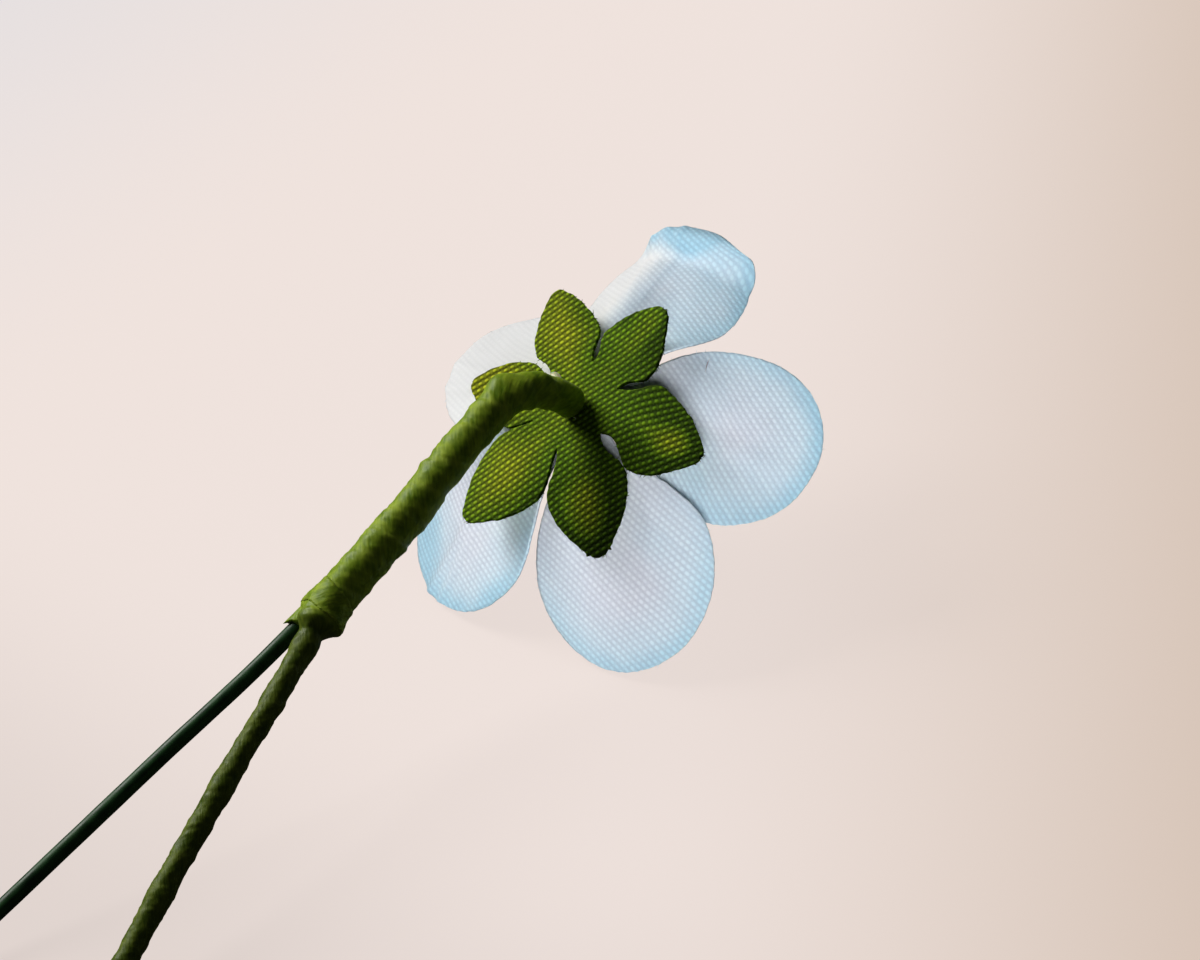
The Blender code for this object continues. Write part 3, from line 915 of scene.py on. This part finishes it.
    def build(self) -> Object:
        """Make the cloth of its sectors and give it its thickness."""
        patches = [patch for index, lobe in enumerate(self.lobes) for patch in self.sector(index, lobe)]
        piece = make_piece(f"{self.name}_cloth", patches, self.finish.material())
        add_wall(piece, "cloth_thickness", self.thickness, self.grows.value)
        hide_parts(self.name)
        return piece

    def declare(self, piece: Object, edging: Object) -> None:
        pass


@dataclass
class EdgeFuzz:
    """Short stubs of thread that stand out of a cloth's cut edge."""

    name: str
    finish: GrainFinish
    count: int
    length: float
    radius: float
    seed: int
    scatter: float = 0.45
    curl: float = 0.3
    shortest: float = 0.3

    def build(self, cloth: DieCutCloth) -> Object:
        """Each stub is a three-sided spike, bent a little, that starts inside the edge and points out of it.

        Args:
            cloth: the finished cloth, which knows its rim.

        Returns:
            The stubs as one piece.
        """
        draw = np.random.default_rng(self.seed)
        places = np.concatenate(cloth.rim_places)
        outward = unit(np.concatenate(cloth.rim_outward))
        chosen = draw.choice(len(places), self.count, replace=False)
        start, out = places[chosen][:, None], outward[chosen]
        lean = unit(out + draw.normal(0, self.scatter, out.shape))
        curl = np.cross(lean, draw.normal(0, 1, out.shape))[:, None]
        lean = lean[:, None]
        reach = (self.length * draw.uniform(self.shortest, 1.0, (self.count, 1)) ** 1.5)[:, None]
        share = np.array([-0.25, 0.0, 0.35, 0.7, 1.0])[:, None]
        spine = start + reach * (lean * share + self.curl * curl * share ** 2)
        taper = self.radius * np.array([0.0, 1.0, 0.85, 0.6, 0.0])
        points = from_head(thread_tube(spine, lean, taper, 3, (0.3, 0.5, 0.8)))
        pattern = np.zeros((*points.shape[1:3], 2))
        piece = make_piece(self.name, [Patch(stub, pattern) for stub in points], self.finish.material())
        return piece


@dataclass
class Wire:
    """A round wire on its route, with rounded ends."""

    name: str
    node: str
    knots: list[Point]
    radius: float
    finish: GrainFinish
    columns: int = 24
    row_spacing: float = 0.35
    coat: Unevenness = Unevenness(0.012, 1.7, 6, 5)

    def build(self) -> None:
        """A tube whose radius wavers by a hundredth part, as a drawn or coated wire's does."""
        route = Route(self.knots)
        rows = max(4, int(route.length / self.row_spacing))
        middle = np.linspace(self.radius, route.length - self.radius, rows)[1:-1]
        arc, share = rounded_rows(route.length, self.radius, middle, cap_rows=9)
        waver = 1 - self.coat.height + self.coat.at(arc, turns(self.columns))
        patch = tube_patch(route, arc, self.radius * share * waver, {})
        piece = make_piece(self.name, [patch], self.finish.material())
        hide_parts(self.node)


def turned_from(turn: Array, way: Array | float) -> Array:
    """Angle between two directions round a route, from minus to plus half a turn."""
    return (turn - way + np.pi) % TURN - np.pi


def bound_pair(turn: Array, radius: Array, other: Array, gap: Array, way: Array) -> Array:
    """Distance from a wire's axis to a tape drawn tight round it and a second wire beside it.

    The tape follows the first circle, leaves it on a straight line that touches both, and follows the far side
    of the second circle.

    Args:
        turn: direction from the first axis.
        radius, other: radii of the two circles.
        gap, way: distance and direction from the first axis to the second.

    Returns:
        The distance in each direction.
    """
    off = np.abs(turned_from(turn, way))
    lean = np.arccos(np.clip((radius - other) / np.maximum(gap, 1e-6), -1, 1))
    touch = np.arctan2(other * np.sin(lean), gap + other * np.cos(lean))
    straight = radius / np.maximum(np.cos(off - lean), 0.2)
    far = gap * np.cos(off) + np.sqrt(np.maximum(other ** 2 - (gap * np.sin(off)) ** 2, 0))
    return np.where(off > lean, radius, np.where(off > touch, straight, far))


@dataclass(frozen=True)
class Sleeve:
    """The tape's last turns round the coated wire: a short cone with a torn end, closed by its last two rows."""

    radius: float = 1.12
    length: float = 5.2
    above_fork: float = 3.0
    taper: float = 0.17
    taper_length: float = 4.5
    rough: Unevenness = Unevenness(0.05, 0.8, 6, 51)
    lap_pitch: float = 2.5
    tear: float = 0.5
    tear_length: float = 1.5
    tears_around: int = 8
    seed: int = 52
    closing_step: float = 0.05

    def patch(self, wire: Route) -> Patch:
        """The cone on the coated wire's route."""
        start = wire.nearest_arc(MAIN_ROUTE[-1]) - self.above_fork
        end = start + self.length
        closing = [end - self.closing_step, end - 2 * self.closing_step]
        arc = np.concatenate([np.linspace(start, end, 60), closing])[:, None]
        turn = turns(40)
        radii = self.radius - self.taper * ease(arc - start, 0, self.taper_length) + self.rough.at(arc, turn)
        radii[-2:] *= np.array([[0.6], [0.0]])
        ragged = wander(turn / TURN * self.tears_around, 1.0, self.seed)
        torn = self.tear * ragged * ease(arc - end, -self.tear_length, 0)
        torn[-2:] = torn[-3].mean()
        values = {"lap": (arc / self.lap_pitch + turn / TURN) % 1.0, "leg": np.zeros(1)}
        patch = tube_patch(wire, arc, radii, values)
        patch.points += wire.at(arc)[1][:, None] * torn[..., None]
        return patch


@dataclass(frozen=True)
class TapeTail:
    """The tape's loose end: a strip wound once round the fork, whose last part stands off and is torn.

    narrow, stand_off and torn are (size, share of the strip where it starts), and each grows to the strip's end.
    """

    rows: int = 120
    columns: int = 14
    first_turn: float = 2.2
    laps: float = 1.05
    above_fork: float = 1.6
    climb: float = 2.3
    half_width: float = 1.15
    narrow: tuple[float, float] = (0.35, 0.75)
    clearance: float = 0.10
    stand_off: tuple[float, float] = (0.55, 0.88)
    torn: tuple[float, float] = (0.015, 0.9)
    waver: float = 0.08
    crumple: float = 0.03
    seed: int = 61
    thickness: float = 0.12

    def strip(self, fork: float) -> tuple[Array, ...]:
        """Lay the strip out round the stem.

        Args:
            fork: length along the tape's route where the wires part.

        Returns:
            Length along the route, direction round it, height over the winding, pattern and lap value.
        """
        share = np.linspace(0, 1, self.rows)[:, None]
        across = np.linspace(-1, 1, self.columns)[None, :]
        narrow, stand_off, torn = (size * ease(share, start, 1) ** power for (size, start), power in (
            (self.narrow, 1), (self.stand_off, 2), (self.torn, 1)))
        turn = self.first_turn + self.laps * TURN * (share + torn * wander(across * 5, 1.0, self.seed))
        arc = fork - self.above_fork + self.climb * share + self.half_width * (1 - narrow) * across
        arc = arc + self.waver * wander(share * 40, 1.0, self.seed + 1)
        stand = self.clearance + stand_off + self.crumple * dents(share * 24, across * 4, self.seed + 2)
        pattern = np.stack(np.broadcast_arrays(share * 9.0, across * 1.2), axis=-1)
        return arc, turn, stand, pattern, 1 - np.abs(across)


@dataclass
class TapedStem:
    """Florist's tape: wound from the neck down the main stem, round both wires, then down one leg.

    lumps are (share of the length, height) swellings, and knuckles are (length along, direction, height, reach
    along, reach round) bulges. low_side is the fuller side of the main stem's lower part, which lies in the
    direction low_way and reaches low_reach round. step_down, low_end and wire_leaves are spans of length past the
    fork, over which the last lap ends, the fuller side dies out and the second wire comes free.
    """

    finish: WaxedTape = field(default_factory=WaxedTape)
    neck_radius: float = 1.3
    main_radius: float = 1.5
    leg_radius: float = 0.95
    wire_radius: float = 1.2
    swell: float = 4.5
    lap_pitch: float = 2.7
    lap_height: float = 0.13
    lap_drift: float = 0.25
    lap_decay: float = 2.0
    lap_edge: float = 0.22
    leg_laps: float = 0.5
    tuck: float = 0.06
    rough: Unevenness = Unevenness(0.10, 1.1, 5, 41)
    wrinkles: Unevenness = Unevenness(0.035, 0.30, 16, 42, twist=0.9)
    low_side: float = 0.32
    low_way: float = 0.9
    low_reach: float = 1.1
    low_rise: tuple[float, float] = (16.0, 20.0)
    low_end: tuple[float, float] = (1.8, 1.0)
    step_down: tuple[float, float] = (1.3, 2.4)
    wire_leaves: tuple[float, float] = (2.2, -0.4)
    ragged_step: float = 0.3
    neck_share: float = 0.12
    lumps: tuple[tuple[float, float], ...] = ((0.5, 0.12), (0.69, 0.12), (0.83, 0.14), (0.93, 0.12))
    lump_share: float = 0.018
    knuckles: tuple[tuple[float, float, float, float, float], ...] = (
        (7.3, 4.1, 0.45, 0.9, 0.7), (5.4, 4.5, 0.16, 0.6, 0.7), (30.6, 0.8, 0.22, 0.7, 0.8),
        (15.7, 3.9, 0.25, 0.5, 0.5))
    rounding: float = 0.35
    row_spacing: float = 0.11
    columns: int = 72
    sleeve: Sleeve = Sleeve()
    tail: TapeTail = TapeTail()

    def __post_init__(self) -> None:
        """Lay out the routes of the tape and of the wire beside it."""
        self.route = Route(NECK_ROUTE + MAIN_ROUTE + TAPED_LEG_ROUTE)
        self.companion = Route([SLEEVE_TOP] + COATED_WIRE_ROUTE[:5])
        self.fork = self.route.nearest_arc(MAIN_ROUTE[-1])
        self.meet = self.route.nearest_arc(SLEEVE_TOP)

    def smooth_radius(self, arc: Array, turn: Array) -> Array:
        """Slim neck, full main stem down to the tape's ragged last lap, slimmer leg with a few lumps.

        Args:
            arc: lengths along the route, as a column.
            turn: directions round it.

        Returns:
            The radius at each.
        """
        share = arc / self.route.length
        neck = self.neck_radius + (self.main_radius - self.neck_radius) * ease(share, 0, self.neck_share)
        ragged = self.ragged_step * wander(turn / TURN * 9, 1.0, 33)
        below = ease(arc - self.fork - ragged, *self.step_down)
        lumps = sum(size * np.exp(-((share - place) / self.lump_share) ** 2) for place, size in self.lumps)
        return neck + (self.leg_radius - neck) * below + lumps * (share > 0.25)

    def bound_radius(self, arc: Array, turn: Array) -> Array:
        """Radius with the second wire bound in, which swells in below the bend and ends at the fork.

        Args:
            arc: lengths along the route, as a column.
            turn: directions round it.

        Returns:
            The radius at each.
        """
        place, along, side, up = self.route.at(arc)
        offset = self.companion.points - place[:, None]
        level = np.abs(np.einsum("rcx,rx->rc", offset, along)).argmin(axis=1)
        beside = offset[np.arange(len(arc)), level]
        beside -= np.einsum("rx,rx->r", beside, along)[:, None] * along
        present = ease(arc - self.meet, -1, self.swell - 1) * ease(arc - self.fork, *self.wire_leaves)
        gap = np.linalg.norm(beside, axis=1, keepdims=True) * present
        way = np.arctan2(np.einsum("rx,rx->r", beside, up), np.einsum("rx,rx->r", beside, side))[:, None]
        radius = self.smooth_radius(arc, turn)
        return np.maximum(bound_pair(turn, radius, self.wire_radius * present, gap, way), radius)

    def wound(self, arc: Array, turn: Array) -> tuple[Array, Array]:
        """The finished winding: bound radius, lap edges that stand up and sink away, dents, wrinkles and bulges.

        Args:
            arc: lengths along the route, as a column.
            turn: directions round it.

        Returns:
            The radius, and how far each place is past the last lap, from 0 to 1.
        """
        lap = (arc / self.lap_pitch + turn / TURN + self.lap_drift * wander(arc, 3.0, 31)) % 1.0
        edge = self.lap_height * np.exp(-self.lap_decay * lap) * ease(lap, 0, self.lap_edge)
        edge *= 1 - self.leg_laps * ease(arc - self.fork, 0, 3)
        rough = self.rough.at(arc, turn) + self.wrinkles.at(arc, turn)
        fuller = self.low_side * ease(arc, *self.low_rise) * ease(arc - self.fork, *self.low_end)
        bulge = fuller * np.exp(-(turned_from(turn, self.low_way) / self.low_reach) ** 2)
        for place, way, size, length, width in self.knuckles:
            bulge = bulge + size * np.exp(-((arc - place) / length) ** 2 - (turned_from(turn, way) / width) ** 2)
        return self.bound_radius(arc, turn) - self.tuck + edge + rough + bulge, lap

    def build(self) -> None:
        """The long winding with the sleeve as one piece, then the tape's loose end."""
        middle = np.arange(self.rounding, self.route.length - self.rounding, self.row_spacing)[1:]
        arc, full = rounded_rows(self.route.length, self.rounding, middle, cap_rows=8)
        radii, lap = self.wound(arc, turns(self.columns))
        radii = np.where(full > 0, radii - self.rounding * (1 - full), 0.0)
        winding = tube_patch(self.route, arc, radii, {"lap": lap, "leg": ease(arc - self.fork, 0, 2.5)})
        finish = self.finish.material()
        piece = make_piece("tape_winding", [winding, self.sleeve.patch(self.companion)], finish)
        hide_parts("binding_tape")
        self.add_tail(finish)

    def add_tail(self, finish: Material) -> None:
        """Lay the tape's loose end on the winding at the fork."""
        arc, turn, stand, pattern, lap = self.tail.strip(self.fork)
        grid = arc.shape
        arc, turn, stand = (values.reshape(-1, 1) for values in (arc, turn, stand))
        place, _, side, up = self.route.at(arc)
        ring = side * np.cos(turn) + up * np.sin(turn)
        points = (place + ring * (self.wound(arc, turn)[0] + stand)).reshape(*grid, 3)
        piece = make_piece("tape_tail", [Patch(points[:, ::-1], pattern, {"lap": lap})], finish)
        add_wall(piece, "tape_thickness", self.tail.thickness, -1.0)


@dataclass
class CentrePip:
    """The bead on the front end of the wire: a low dome with grooves, as a made flower's centre has."""

    radius: float = 1.6
    height: float = 2.3
    back: float = -0.6
    grooves: int = 10
    groove_depth: float = 0.05
    finish: GrainFinish = GrainFinish("pip_resin", (0.52, 0.44, 0.16), (0.78, 0.72, 0.38), 0.35, 0.02, see_through=0.2)

    def build(self) -> None:
        """Surface of revolution: a quarter ellipse for the dome, with ten shallow grooves, and a flat back."""
        rise = np.linspace(0, np.pi / 2, 34)[:, None]
        turn = turns(80)
        ridge = np.abs(np.cos(turn * self.grooves / 2))
        radius = self.radius * np.sin(rise) * (1 - self.groove_depth * np.sin(rise * 2) * (1 - ridge) ** 0.7)
        dome = np.dstack([swung(radius, 0.0, turn), self.back - self.height * np.cos(rise) * np.ones_like(turn)])
        disc = dome[-1] * np.linspace(0.8, 0, 5)[:, None, None]
        disc[..., 2] = self.back
        points = np.concatenate([dome, disc])
        piece = make_piece("centre_bead", [Patch(from_head(points), points[..., :2])], self.finish.material())
        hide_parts("centre_pip")


@dataclass
class Glue:
    """A small pale bead of glue in the crotch between two sepals, beside the neck."""

    place: Point = (-3.3, 0.6, 1.42)
    size: Point = (0.75, 0.5, 0.28)
    lumps: Unevenness = Unevenness(0.22, 0.5, 5, 71)
    finish: GrainFinish = GrainFinish("dried_glue", (0.42, 0.5, 0.26), (0.72, 0.76, 0.52), 0.3, 0.01, see_through=0.5)

    def build(self) -> None:
        """A flattened ball whose outline is uneven."""
        rise = np.linspace(0, np.pi, 24)[:, None]
        turn = turns(40)
        uneven = 1 + self.lumps.at(rise, turn) * np.sin(rise)
        ball = np.dstack([swung(np.sin(rise) * uneven, 0.0, turn), -np.cos(rise) * np.ones_like(turn)])
        points = from_head(ball * self.size + self.place)
        piece = make_piece("glue_bead", [Patch(points[:, ::-1], ball[..., :2])], self.finish.material())


@dataclass(frozen=True)
class Hair:
    """A loose fibre in the head's frame: where it starts, how it runs, how far it curls, and its radius."""

    start: Point
    run: Point
    curl: Point
    radius: float = 0.03


@dataclass
class LooseFibres:
    """The few threads and lint that stand off the flower."""

    hairs: tuple[Hair, ...]
    finish: GrainFinish = GrainFinish("lint", (0.62, 0.66, 0.68), (0.85, 0.87, 0.88), 0.8, 0.005, see_through=0.3)

    def build(self) -> None:
        """Each fibre is a thin tube on a parabola: start plus run times share plus curl times share squared."""
        share = np.linspace(0, 1, 24)[:, None]
        taper = np.minimum(1, 3 * np.minimum(share, 1 - share) + 0.15)[:, 0]
        taper[[0, -1]] = 0
        patches = []
        for hair in self.hairs:
            spine = np.array(hair.start) + np.array(hair.run) * share + np.array(hair.curl) * share ** 2
            along = unit(np.gradient(spine, axis=0))
            points = thread_tube(spine, along, hair.radius * taper, 6, (0.31, 0.52, 0.79))
            patches.append(Patch(from_head(points), np.zeros((*points.shape[:2], 2))))
        piece = make_piece("loose_fibres", patches, self.finish.material())


@dataclass
class Studio:
    """A pale floor lit for itself, one broad light from the upper left, a card for the petals, the room, the camera.

    tones are (way, start, end, colour): the floor takes each colour from start to end along its way, in metres.
    """

    floor_half: float = 900.0
    floor_drop: float = 0.05
    base: Colour = (0.80, 0.715, 0.68)
    tones: tuple[tuple[Point, float, float, Colour], ...] = (
        ((0.93, -0.15, 0.0), 0.015, 0.085, (0.60, 0.485, 0.40)), ((-0.6, 0.5, 0.0), 0.045, 0.115, (0.72, 0.685, 0.69)))
    front_way: Point = (-0.7, -0.7, 0.0)
    front_span: tuple[float, float] = (-0.01, 0.045)
    front_shade: float = 0.88
    fade: tuple[float, float] = (0.16, 0.40)
    glow: float = 0.84
    bare: float = 0.1
    key_way: Point = (-0.596, 0.457, 0.663)
    key_power: float = 3.0
    card_way: Point = (0.100, -0.978, 0.180)
    card_power: float = 3.4
    lamp_distance: float = 600.0
    lamp_size: float = 330.0
    lamp_tone: Colour = (1.0, 0.985, 0.96)
    room_tone: Colour = (0.95, 0.97, 1.0)
    room_light: float = 0.045
    camera_offset: Point = (27.05, -220.28, 148.55)
    camera_axes: tuple[Point, ...] = ((0.9854, 0.1385, 0.0991), (0.0, 0.5821, -0.8131), (-0.1703, 0.8013, 0.5736))
    lens: float = 100.0
    sensor: float = 36.0

    def floor(self) -> None:
        """A large sheet, lit for itself so the part's shadow stays faint, whose tones paint the fall-off of the light:
        cool at the back left, warm and darker at the right, and darker towards the front.

        Away from the flower, and in other views, the tones fade back to the base.
        """
        made, board, shader = new_material("pale_floor")
        place = board.add("TexCoord").outputs["Object"]
        near = board.span(board.vector("LENGTH", place), *self.fade, 1.0, 0.0)
        tone = self.base
        for way, start, end, colour in self.tones:
            reached = board.span(board.vector("DOT_PRODUCT", place, way), start, end)
            tone = board.blend(board.math("MULTIPLY", reached, near), tone, colour)
        front = board.span(board.vector("DOT_PRODUCT", place, self.front_way), *self.front_span)
        shade = board.span(board.math("MULTIPLY", front, near), 0.0, 1.0, 1.0, self.front_shade)
        tone = board.blend(1.0, tone, shade, "MULTIPLY")
        seen = board.add("LightPath").outputs["Is Camera Ray"]
        board.join(shader, {
            "Emission Color": tone, "Emission Strength": board.math("MULTIPLY", seen, self.glow),
            "Base Color": board.blend(1.0, tone, (self.bare,) * 3, "MULTIPLY"), "Roughness": 0.95,
            "Specular IOR Level": 0.1})
        line = np.linspace(-self.floor_half, self.floor_half, 9)
        x, y = np.meshgrid(line, line, indexing="ij")
        sheet = Patch(np.dstack([x, y, np.full_like(x, -self.floor_drop)]), x)
        mesh = bpy.data.meshes.new("floor")
        mesh.from_pydata((sheet.points.reshape(-1, 3) * MM).tolist(), [], sheet.faces(0).tolist())
        mesh.materials.append(made)
        floor = bpy.data.objects.new("floor", mesh)
        bpy.context.scene.collection.objects.link(floor)

    def lamp(self, name: str, way: Point, power: float) -> Object:
        """A round area light that looks at the flower.

        Args:
            name: the light's name.
            way: where it stands, seen from the flower.
            power: its power in watts.

        Returns:
            The light's object.
        """
        way = Vector(way).normalized()
        lamp = bpy.data.lights.new(name, "AREA")
        lamp.shape = "DISK"
        lamp.size = self.lamp_size * MM
        lamp.energy = power
        lamp.color = self.lamp_tone
        made = bpy.data.objects.new(name, lamp)
        made.location = (Vector(FLOWER_CENTRE) + way * self.lamp_distance) * MM
        made.rotation_euler = way.to_track_quat("Z", "Y").to_euler()
        bpy.context.scene.collection.objects.link(made)
        return made

    def lights(self, petals: list[Object]) -> None:
        """The key light, a white card at the lower right that lifts the petals alone, and the room."""
        self.lamp("key", self.key_way, self.key_power)
        card = self.lamp("card", self.card_way, self.card_power)
        lifted = bpy.data.collections.new("lifted_by_card")
        for piece in petals:
            lifted.objects.link(piece)
        card.light_linking.receiver_collection = lifted
        world = bpy.data.worlds.new("room")
        world.use_nodes = True
        backdrop = world.node_tree.nodes["Background"]
        backdrop.inputs["Color"].default_value = (*self.room_tone, 1.0)
        backdrop.inputs["Strength"].default_value = self.room_light
        bpy.context.scene.world = world

    def camera(self) -> None:
        """The photograph's camera: 35 degrees down, rolled 12 degrees, with a 100 mm lens."""
        lens = bpy.data.cameras.new("photo_camera")
        lens.lens = self.lens
        lens.sensor_width = self.sensor
        lens.clip_start, lens.clip_end = 0.01, 20.0
        camera = bpy.data.objects.new("photo_camera", lens)
        turn = Matrix(self.camera_axes).to_4x4()
        camera.matrix_world = Matrix.Translation((Vector(FLOWER_CENTRE) + Vector(self.camera_offset)) * MM) @ turn
        bpy.context.scene.collection.objects.link(camera)
        bpy.context.scene.camera = camera

    def build(self, petals: list[Object]) -> None:
        """Floor, lights, camera, and plain display colours."""
        self.floor()
        self.lights(petals)
        self.camera()
        bpy.context.scene.view_settings.view_transform = "Standard"
        bpy.context.scene.view_settings.look = "Medium High Contrast"


PETALS = [
    Lobe(28.3, 20.4, 7.25, 17, 13, 8, 0.045, 5, ((-0.3, 0.18, 0.13),), dye=0.9),
    Lobe(108.8, 20.3, 7.25, 10, 26, 60, 0.070, 2, ((0.55, 0.3, 0.12), (0.3, 0.15, 0.06), (0.78, 0.25, 0.07)),
         roll=75, dye=1.4, bare=0.36),
    Lobe(186.5, 18.1, 6.3, 8, 16, 10, 0.045, 11, ((0.3, 0.2, 0.12), (0.7, 0.2, 0.1)), bare=1.0),
    Lobe(244.8, 21.6, 9.3, 12, 22, 6, 0.030, 4, ((0.38, 0.3, 0.07), (0.58, 0.22, 0.05)), dye=1.55),
    Lobe(325.4, 22.2, 8.0, 11, 22, 4, 0.040, 6, ((0.5, -0.1, 0.2),), dye=0.65),
]
SEPALS = [
    Lobe(14.5, 12.9, 3.55, 4, 10, 0, 0.05, 0, slim=2.0),
    Lobe(83.0, 10.5, 3.35, -6, 0, 0, 0.06, 0, slim=1.5),
    Lobe(147, 11.5, 2.95, -1, 2, 0, 0.06, 0, slim=1.7),
    Lobe(202, 10.5, 2.95, -6, 0, 0, 0.06, 0),
    Lobe(265, 12.7, 3.75, -1, 2, 0, 0.06, 0, slim=0.7),
    Lobe(323.5, 13.4, 3.60, 6, 11, 0, 0.05, 0, slim=1.5),
]
PETAL_OUTLINE = Outline(0.62, 1.5, 2.0, 0.5, (1 - 0.62) * (1 - np.cos(np.pi / 5)), 1.0)
SEPAL_OUTLINE = Outline(0.55, 1.9, 1.9, 1.0, 0.025, 1.035)

PETAL_FINISH = WovenCloth(
    "petal_cloth", middle=(0.77, 0.82, 0.93), rim=(0.65, 0.82, 0.95), tip=(0.45, 0.70, 0.86), rim_width=6.0,
    tip_width=2.0, outer_from=0.1, cell=(0.46, 0.28), turn_degrees=98.0, dash_power=0.8, rib=0.5, fineness=1.8,
    weft_shade=0.96, gap_shade=0.82, relief=0.03, see_through=0.5, sheen=0.15, gloss=0.2, thread_change=0.05,
    # Spots: painted shade in the soft dent of the petal near 338 and over the petals near 250, 108 (its middle) and
    # 30; the one at 110 deepens the rolled tip's blue dye
    spots=(Spot(338.0, 13.5, 3.5, -2.5), Spot(250.0, 17.0, 6.0, -3.0), Spot(108.0, 13.0, 7.0, -4.0),
           Spot(30.0, 12.0, 7.0, -2.6), Spot(110.0, 19.8, 3.6, -4.0)))
# The olive-yellow middle is partly the calyx's dye and partly a painted glow of light through the cloth, and lean
# paints light: the sepals are lighter towards azimuth 190, the lit side
CALYX_FINISH = WovenCloth(
    "calyx_cloth", middle=(0.88, 0.96, 0.050), rim=(0.30, 0.55, 0.022), tip=(0.13, 0.26, 0.008), rim_width=5.5,
    tip_width=0.8, outer_from=-0.3, cell=(0.497, 0.298), turn_degrees=23.5, dash_power=1.0, rib=0.4, fineness=2.0,
    weft_shade=0.70, gap_shade=0.28, relief=0.08, see_through=0.1, sheen=0.0, gloss=0.1, thread_change=0.2,
    painted_light_azimuth=190.0, lean=6.0,
    # Spots: a painted glow near the tip of the sepal at 23, painted shade near the root and painted light further out
    # on the sepal at 83, a painted shadow round the neck at the centre, the sepal at 203 lightened, and painted light
    # on the sepal at 322 where the neck's shadow falls
    spots=(Spot(23.0, 10.4, 3.2, 4.2), Spot(83.0, 6.5, 4.0, -1.0), Spot(83.0, 10.0, 4.0, 1.5),
           Spot(0.0, 0.0, 4.8, -1.5), Spot(203.0, 9.0, 4.0, 3.5), Spot(322.0, 10.5, 4.5, 2.2)))
PETAL_THREAD = GrainFinish("petal_thread", (0.5, 0.66, 0.78), (0.8, 0.86, 0.9), 0.8, 0.005)
CALYX_THREAD = GrainFinish("calyx_thread", (0.06, 0.12, 0.01), (0.2, 0.26, 0.03), 0.8, 0.005)
COATED_FINISH = GrainFinish(
    "green_coated_wire", (0.012, 0.045, 0.015), (0.035, 0.12, 0.035), 0.45, 0.006, streak=3.0, gloss=0.3)
STEEL_FINISH = GrainFinish("steel_wire", (0.42, 0.42, 0.40), (0.62, 0.62, 0.60), 0.38, 0.01, metallic=1.0)
HAIRS = (
    Hair((0.9, -0.9, 1.5), (0.7, 0.5, 0.35), (0.2, -0.5, 0.2), 0.045),
    Hair((6.2, 8.6, -1.2), (-0.5, 0.9, 0.5), (0.4, 0.2, 0.1)),
)


@dataclass
class FlowerHead:
    """Petal cloth, sepal cloth, their frayed edges, the bead, the glue and the loose fibres."""

    corolla: DieCutCloth = field(default_factory=lambda: DieCutCloth(
        "corolla", PETALS, PETAL_OUTLINE, PETAL_FINISH, first_azimuth=36, disc_radius=3.8, lift=0.0, thickness=0.18,
        grows=Side.FRONT, rows=104, columns=64, fray=0.05, ripple=0.09, seed=100))
    calyx: DieCutCloth = field(default_factory=lambda: DieCutCloth(
        "calyx", SEPALS, SEPAL_OUTLINE, CALYX_FINISH, first_azimuth=23, disc_radius=3.9, lift=1.05, thickness=0.24,
        grows=Side.BACK, rows=80, columns=48, fray=0.09, ripple=0.06, seed=300))
    petal_fuzz: EdgeFuzz = field(
        default_factory=lambda: EdgeFuzz("petal_edge_threads", PETAL_THREAD, 150, 0.28, 0.022, 7))
    sepal_fuzz: EdgeFuzz = field(
        default_factory=lambda: EdgeFuzz("sepal_edge_threads", CALYX_THREAD, 260, 0.32, 0.035, 8))

    def build(self) -> list[Object]:
        """Build the cloths first, because their edges are where the threads grow.

        Returns:
            The petal cloth and its edge threads.
        """
        made = []
        for cloth, fuzz in ((self.corolla, self.petal_fuzz), (self.calyx, self.sepal_fuzz)):
            piece, edging = cloth.build(), fuzz.build(cloth)
            cloth.declare(piece, edging)
            made += [piece, edging]
        CentrePip().build()
        Glue().build()
        LooseFibres(HAIRS).build()
        return made[:2]


@dataclass
class Stem:
    """The tape and the two wires."""

    tape: TapedStem = field(default_factory=TapedStem)
    coated: Wire = field(
        default_factory=lambda: Wire("coated_wire", "leg_wire", COATED_WIRE_ROUTE, 0.64, COATED_FINISH))
    inner: Wire = field(default_factory=lambda: Wire(
        "flower_steel_wire", "flower_wire", WIRE_START + NECK_ROUTE + MAIN_ROUTE + TAPED_LEG_ROUTE, 0.35,
        STEEL_FINISH, columns=16))

    def build(self) -> None:
        """Tape first, then the wires that leave it."""
        self.tape.build()
        self.coated.build()
        self.inner.build()


def main() -> None:
    """Build the flower, the stem and the studio. Each piece reports itself as it is made."""
    logging.basicConfig(level=logging.INFO, format="%(message)s")
    petals = FlowerHead().build()
    Stem().build()
    Studio().build(petals)


if __name__ == "__main__":
    main()
